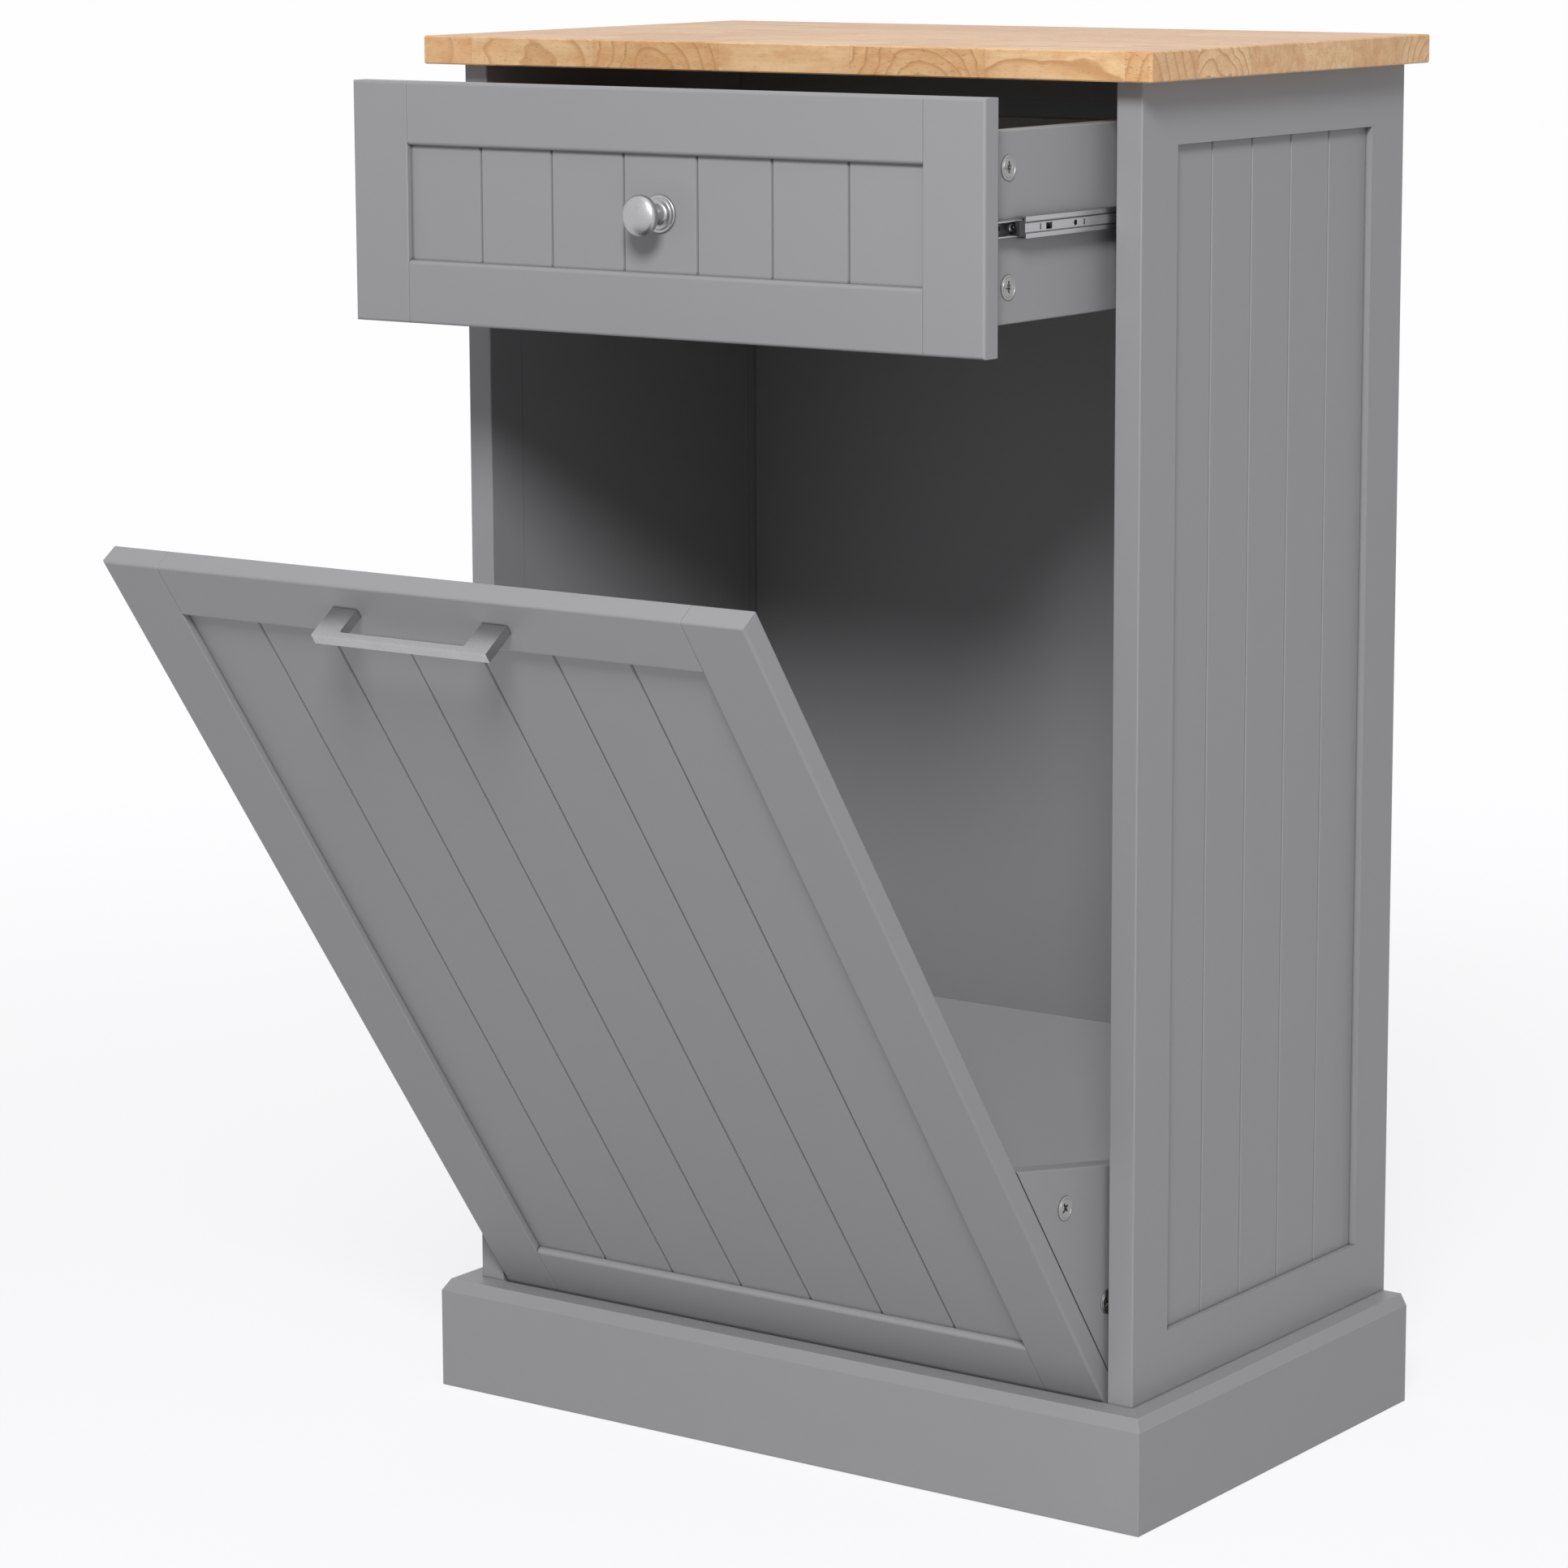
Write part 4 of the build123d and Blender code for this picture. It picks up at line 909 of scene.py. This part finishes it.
def makeKnob():
    low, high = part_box("drawer_knob")
    form = Form(knob["sides"])
    tall = high.y - low.y
    for radius, height in reversed(knobProfile()):
        form.ring(radius / 1000, height / 1000 - tall)
        if len(form.points) == knob["sides"]:
            form.faces.append(tuple(form.row))
    form.closed()
    place = Vector(((low.x + high.x) / 2, low.y, (low.z + high.z) / 2))
    upright = standing(place, Vector((0, -1, 0)))
    addPiece("drawerKnob", "drawer_knob", [(form, upright)], knob["smoothBelow"])


# Ball slides, as rolled from strip, in millimetres out from the member's inner side and up from its
# middle. The lower rail mirrors the upper one, which is given.
flatStrip = {"smoothBelow": 30, "tongue": 1.0, "tongueRoot": 0.1}
slides = {
    "middle": {
        "piece": "SlideMiddle",
        "web": (6.2, 7.2, 2.55),
        "lead": 2.0,
        "rail": [(6.95, 2.5), (6.5, 2.8), (6.1, 2.98), (6.15, 3.25), (6.5, 3.5), (6.5, 5.7),
                 (6.3, 6.25), (5.75, 6.55), (0.5, 6.55), (0.1, 6.4), (0.0, 6.05), (0.1, 5.7),
                 (0.5, 5.55), (5.0, 5.55), (5.4, 5.35), (5.5, 5.0), (5.5, 3.6), (5.25, 3.2),
                 (5.2, 2.8), (5.6, 2.4), (6.25, 2.3)],
        "windows": [(23.8, 6.5, 4.0), (14.5, 1.2, 3.4), (62.0, 1.2, 3.4)],
        "holes": [(52.4, 1.75)],
        "tabs": [(18.6, 0.8, 3.2), (60.2, 0.8, 3.0)],
    },
    "outer": {
        "piece": "SlideOuter",
        "web": (7.5, 8.5, 6.6),
        "lead": 0.0,
        "rail": [(8.5, 6.5), (8.5, 7.4), (8.25, 8.15), (7.5, 8.5), (0.5, 8.5), (0.1, 8.35), (0.0, 8.0),
                 (0.1, 7.65), (0.5, 7.5), (6.9, 7.5), (7.35, 7.3), (7.5, 6.9), (7.5, 6.5)],
        "windows": [],
        "holes": [],
        "tabs": [],
    },
    "inner": {
        "piece": "SlideInner",
        "web": (0.0, 1.0, 3.3),
        "lead": 0.0,
        "rail": [(0.0, 3.2), (0.0, 4.0), (0.25, 4.6), (0.9, 4.85), (6.9, 4.85), (7.3, 4.7), (7.4, 4.35),
                 (7.3, 4.0), (6.9, 3.85), (1.5, 3.85), (1.1, 3.65), (1.0, 3.2)],
        "windows": [(10.9, 2.4, 2.4)],
        "holes": [],
        "tabs": [],
    },
}


def slab(form, outline, holes, low, high, place):  # a flat blank with holes, through to its other side
    sides = []
    for level in (low, high):
        loops = []
        for loop in [outline] + holes:
            start = len(form.points)
            form.points += [place(*p, level) for p in loop]
            loops.append([start + i for i in range(len(loop))])
        form.filled(loops)
        sides.append(loops)
    for under, over in zip(*sides):
        for i in range(len(under)):
            j = (i + 1) % len(under)
            form.faces.append((under[i], under[j], over[j], over[i]))


def oblong(middle, length, height):
    return [(middle + a * length / 2, b * height / 2) for a, b in ((-1, -1), (1, -1), (1, 1), (-1, 1))]


def roundHole(along, up, radius, sides=20):
    turns = [2 * math.pi * i / sides for i in range(sides)]
    return [(along + radius * math.cos(t), up + radius * math.sin(t)) for t in turns]


def makeSlides():
    for member, cut in slides.items():
        for hand, sign in (("right", 1), ("left", -1)):
            low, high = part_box("right_slide_" + member)
            middle = (low.z + high.z) / 2

            def across(y, z, x):  # blanks of the web, seen from the side
                forward = low.y + (cut["lead"] + y) / 1000
                return Vector((sign * (low.x + x / 1000), forward, middle + z / 1000))

            def rolled(x, z, y):  # rail sections, seen from the end
                return across(y, z, x)

            form = Form()
            length = (high.y - low.y) * 1000 - cut["lead"]
            inner, outer, half = cut["web"]
            blank = [(-cut["lead"], -half), (length, -half), (length, half), (-cut["lead"], half)]
            holes = [oblong(*window) for window in cut["windows"]]
            holes += [roundHole(along, 0.0, radius) for along, radius in cut["holes"]]
            slab(form, blank, holes, inner, outer, across)
            slab(form, cut["rail"], [], 0.0, length, rolled)
            slab(form, [(x, -z) for x, z in cut["rail"]], [], 0.0, length, rolled)
            tongue = inner - flatStrip["tongue"], inner + flatStrip["tongueRoot"]
            for tab in cut["tabs"]:  # tongues bent in from the web
                slab(form, oblong(*tab), [], *tongue, across)
            name, node = hand + cut["piece"], f"{hand}_slide_{member}"
            addPiece(name, node, [(form, Matrix())], flatStrip["smoothBelow"])


# Ball cages: thin perforated strips with their steel balls
cage = {"pitch": 0.0036, "strip": 0.42, "ringGap": 0.0001, "sides": 10, "steps": 6}
cageNodes = {"outer_ball_cages": "outerBallCages", "inner_ball_cages": "innerBallCages"}


def addBall(form, middle, radius):
    sides, steps = cage["sides"], cage["steps"]
    rows = []
    for i in range(1, steps):
        tilt = math.pi * i / steps
        start = len(form.points)
        for j in range(sides):
            turn = 2 * math.pi * j / sides
            level = math.sin(tilt)
            way = Vector((level * math.cos(turn), level * math.sin(turn), math.cos(tilt)))
            form.points.append(middle + way * radius)
        rows.append([start + j for j in range(sides)])
    top = len(form.points)
    form.points += [middle + Vector((0, 0, radius)), middle - Vector((0, 0, radius))]
    for j in range(sides):
        k = (j + 1) % sides
        form.faces.append((top, rows[0][j], rows[0][k]))
        form.faces.append((top + 1, rows[-1][k], rows[-1][j]))
        for upper, lower in zip(rows, rows[1:]):
            form.faces.append((upper[j], lower[j], lower[k], upper[k]))


def makeCages():
    for node, name in cageNodes.items():
        form = Form()
        for points, _ in looseSolids(node):
            low = Vector(min(p[i] for p in points) for i in range(3))
            high = Vector(max(p[i] for p in points) for i in range(3))
            middle = (low + high) / 2
            ball = (high.z - low.z) / 2
            count = int((high.y - low.y) / cage["pitch"])
            places = [middle.y + (i - (count - 1) / 2) * cage["pitch"] for i in range(count)]
            holes = [roundHole(middle.x, y, ball + cage["ringGap"], cage["sides"]) for y in places]
            strip = [(low.x, low.y), (high.x, low.y), (high.x, high.y), (low.x, high.y)]
            thin = ball * cage["strip"]
            slab(form, strip, holes, middle.z - thin, middle.z + thin, lambda *spot: Vector(spot))
            for y in places:
                addBall(form, Vector((middle.x, y, middle.z)), ball)
        addPiece(name, node, [(form, Matrix())], flatStrip["smoothBelow"])


makeScrews()
makeLocks()
makeDowels()
print("screws, locks and dowels made")
makeKnob()
print("knob turned")
makeSlides()
makeCages()
print("slides rolled, with their balls")


# Set: pale floor, white surround, two soft lamps and a camera like the photograph's. Each lamp has its
# name, place, target, size and power.
studio = {
    "surround": (0.995, 0.985, 1.0),
    "ambient": 0.325,
    "floorBounce": (0.63, 0.627, 0.635),
    "floorSeen": (0.97, 0.965, 0.975),
    "shadowShare": 0.82,
    "floorRadius": 14.0,
    "floorSides": 96,
    "floorTop": -0.0005,
    "fade": (0.7, 2.6),
    "clothScale": 40,
    "clothShade": 0.985,
    "lamps": [
        ("keyLamp", (1.96, -3.24, 3.02), (0.0, 0.0, 0.5), 1.25, 164),
        ("topLamp", (0.1, -0.3, 3.4), (0.0, 0.0, 0.5), 2.6, 6),
    ],
}


def seenDirectly(r):  # camera, mirror and glass rays see the plain white surround
    rays = r.node("ShaderNodeLightPath").socket.node.outputs
    seen = Wire(r, rays["Is Camera Ray"]) + Wire(r, rays["Is Glossy Ray"])
    return r.maths("MINIMUM", seen + Wire(r, rays["Is Transmission Ray"]), 1.0)


def makeSurround():
    world = bpy.data.worlds.new("surround")
    world.use_nodes = True
    r = Recipe(world.node_tree)
    direct = seenDirectly(r)
    strength = studio["ambient"] + direct * (1 - studio["ambient"])
    light = r.node("ShaderNodeBackground", {}, {0: (*studio["surround"], 1), 1: strength})
    r.node("ShaderNodeOutputWorld", {}, {"Surface": light})
    bpy.context.scene.world = world


def makeFloor():
    mesh = bpy.data.meshes.new("studioFloor")
    sheet = bmesh.new()
    sides, radius = studio["floorSides"], studio["floorRadius"]
    bmesh.ops.create_circle(sheet, cap_ends=True, segments=sides, radius=radius)
    sheet.to_mesh(mesh)
    sheet.free()
    floor = bpy.data.objects.new("studioFloor", mesh)
    bpy.context.scene.collection.objects.link(floor)
    floor.location.z = studio["floorTop"]
    material = bpy.data.materials.new("paleFloor")
    material.use_nodes = True
    r = Recipe(material.node_tree)
    spot = r.place()
    away = r.node("ShaderNodeVectorMath", {"operation": "LENGTH"}, {0: spot}, out=1)
    far = r.clamped(away, *studio["fade"])
    weave = r.noise(spot, studio["clothScale"], 3)
    shaded = [c * studio["clothShade"] for c in studio["floorBounce"]]
    bounce = r.tint(weave, studio["floorBounce"], shaded)
    direct = seenDirectly(r)
    cloth = r.node("ShaderNodeBsdfDiffuse", {}, {"Color": r.tint(direct, bounce, studio["floorSeen"])})
    white = r.node("ShaderNodeEmission", {}, {0: (*studio["surround"], 1), 1: 1.0})
    share = direct * (studio["shadowShare"] + far * (1 - studio["shadowShare"]))
    both = r.node("ShaderNodeMixShader", {}, {0: share, 1: cloth, 2: white})
    r.node("ShaderNodeOutputMaterial", {}, {"Surface": both})
    mesh.materials.append(material)


def makeLamp(name, place, target, size, power):
    data = bpy.data.lights.new(name, "AREA")
    data.shape = "DISK"
    data.size = size
    data.energy = power
    lamp = bpy.data.objects.new(name, data)
    bpy.context.scene.collection.objects.link(lamp)
    lamp.location = place
    lamp.rotation_euler = (Vector(target) - Vector(place)).to_track_quat("-Z", "Y").to_euler()


lens = {
    "place": (1.81807, -2.53443, 1.01419),
    "turn": 0.62155,
    "down": 0.17034,
    "roll": -0.00394,
    "focal": 115.773,
    "sensor": 36,
    "shiftY": -0.04,
}


def makeCamera():
    data = bpy.data.cameras.new("studioCamera")
    data.sensor_width = lens["sensor"]
    data.lens = lens["focal"]
    data.shift_y = lens["shiftY"]
    camera = bpy.data.objects.new("studioCamera", data)
    bpy.context.scene.collection.objects.link(camera)
    turn = Matrix.Rotation(lens["turn"], 4, "Z")
    tip = Matrix.Rotation(math.pi / 2 - lens["down"], 4, "X")
    roll = Matrix.Rotation(lens["roll"], 4, "Z")
    camera.matrix_world = Matrix.Translation(lens["place"]) @ turn @ tip @ roll
    bpy.context.scene.camera = camera


makeSurround()
makeFloor()
for lamp in studio["lamps"]:
    makeLamp(*lamp)
makeCamera()
bpy.context.scene.view_settings.view_transform = "Standard"
print("set ready:", len(studio["lamps"]), "lamps")
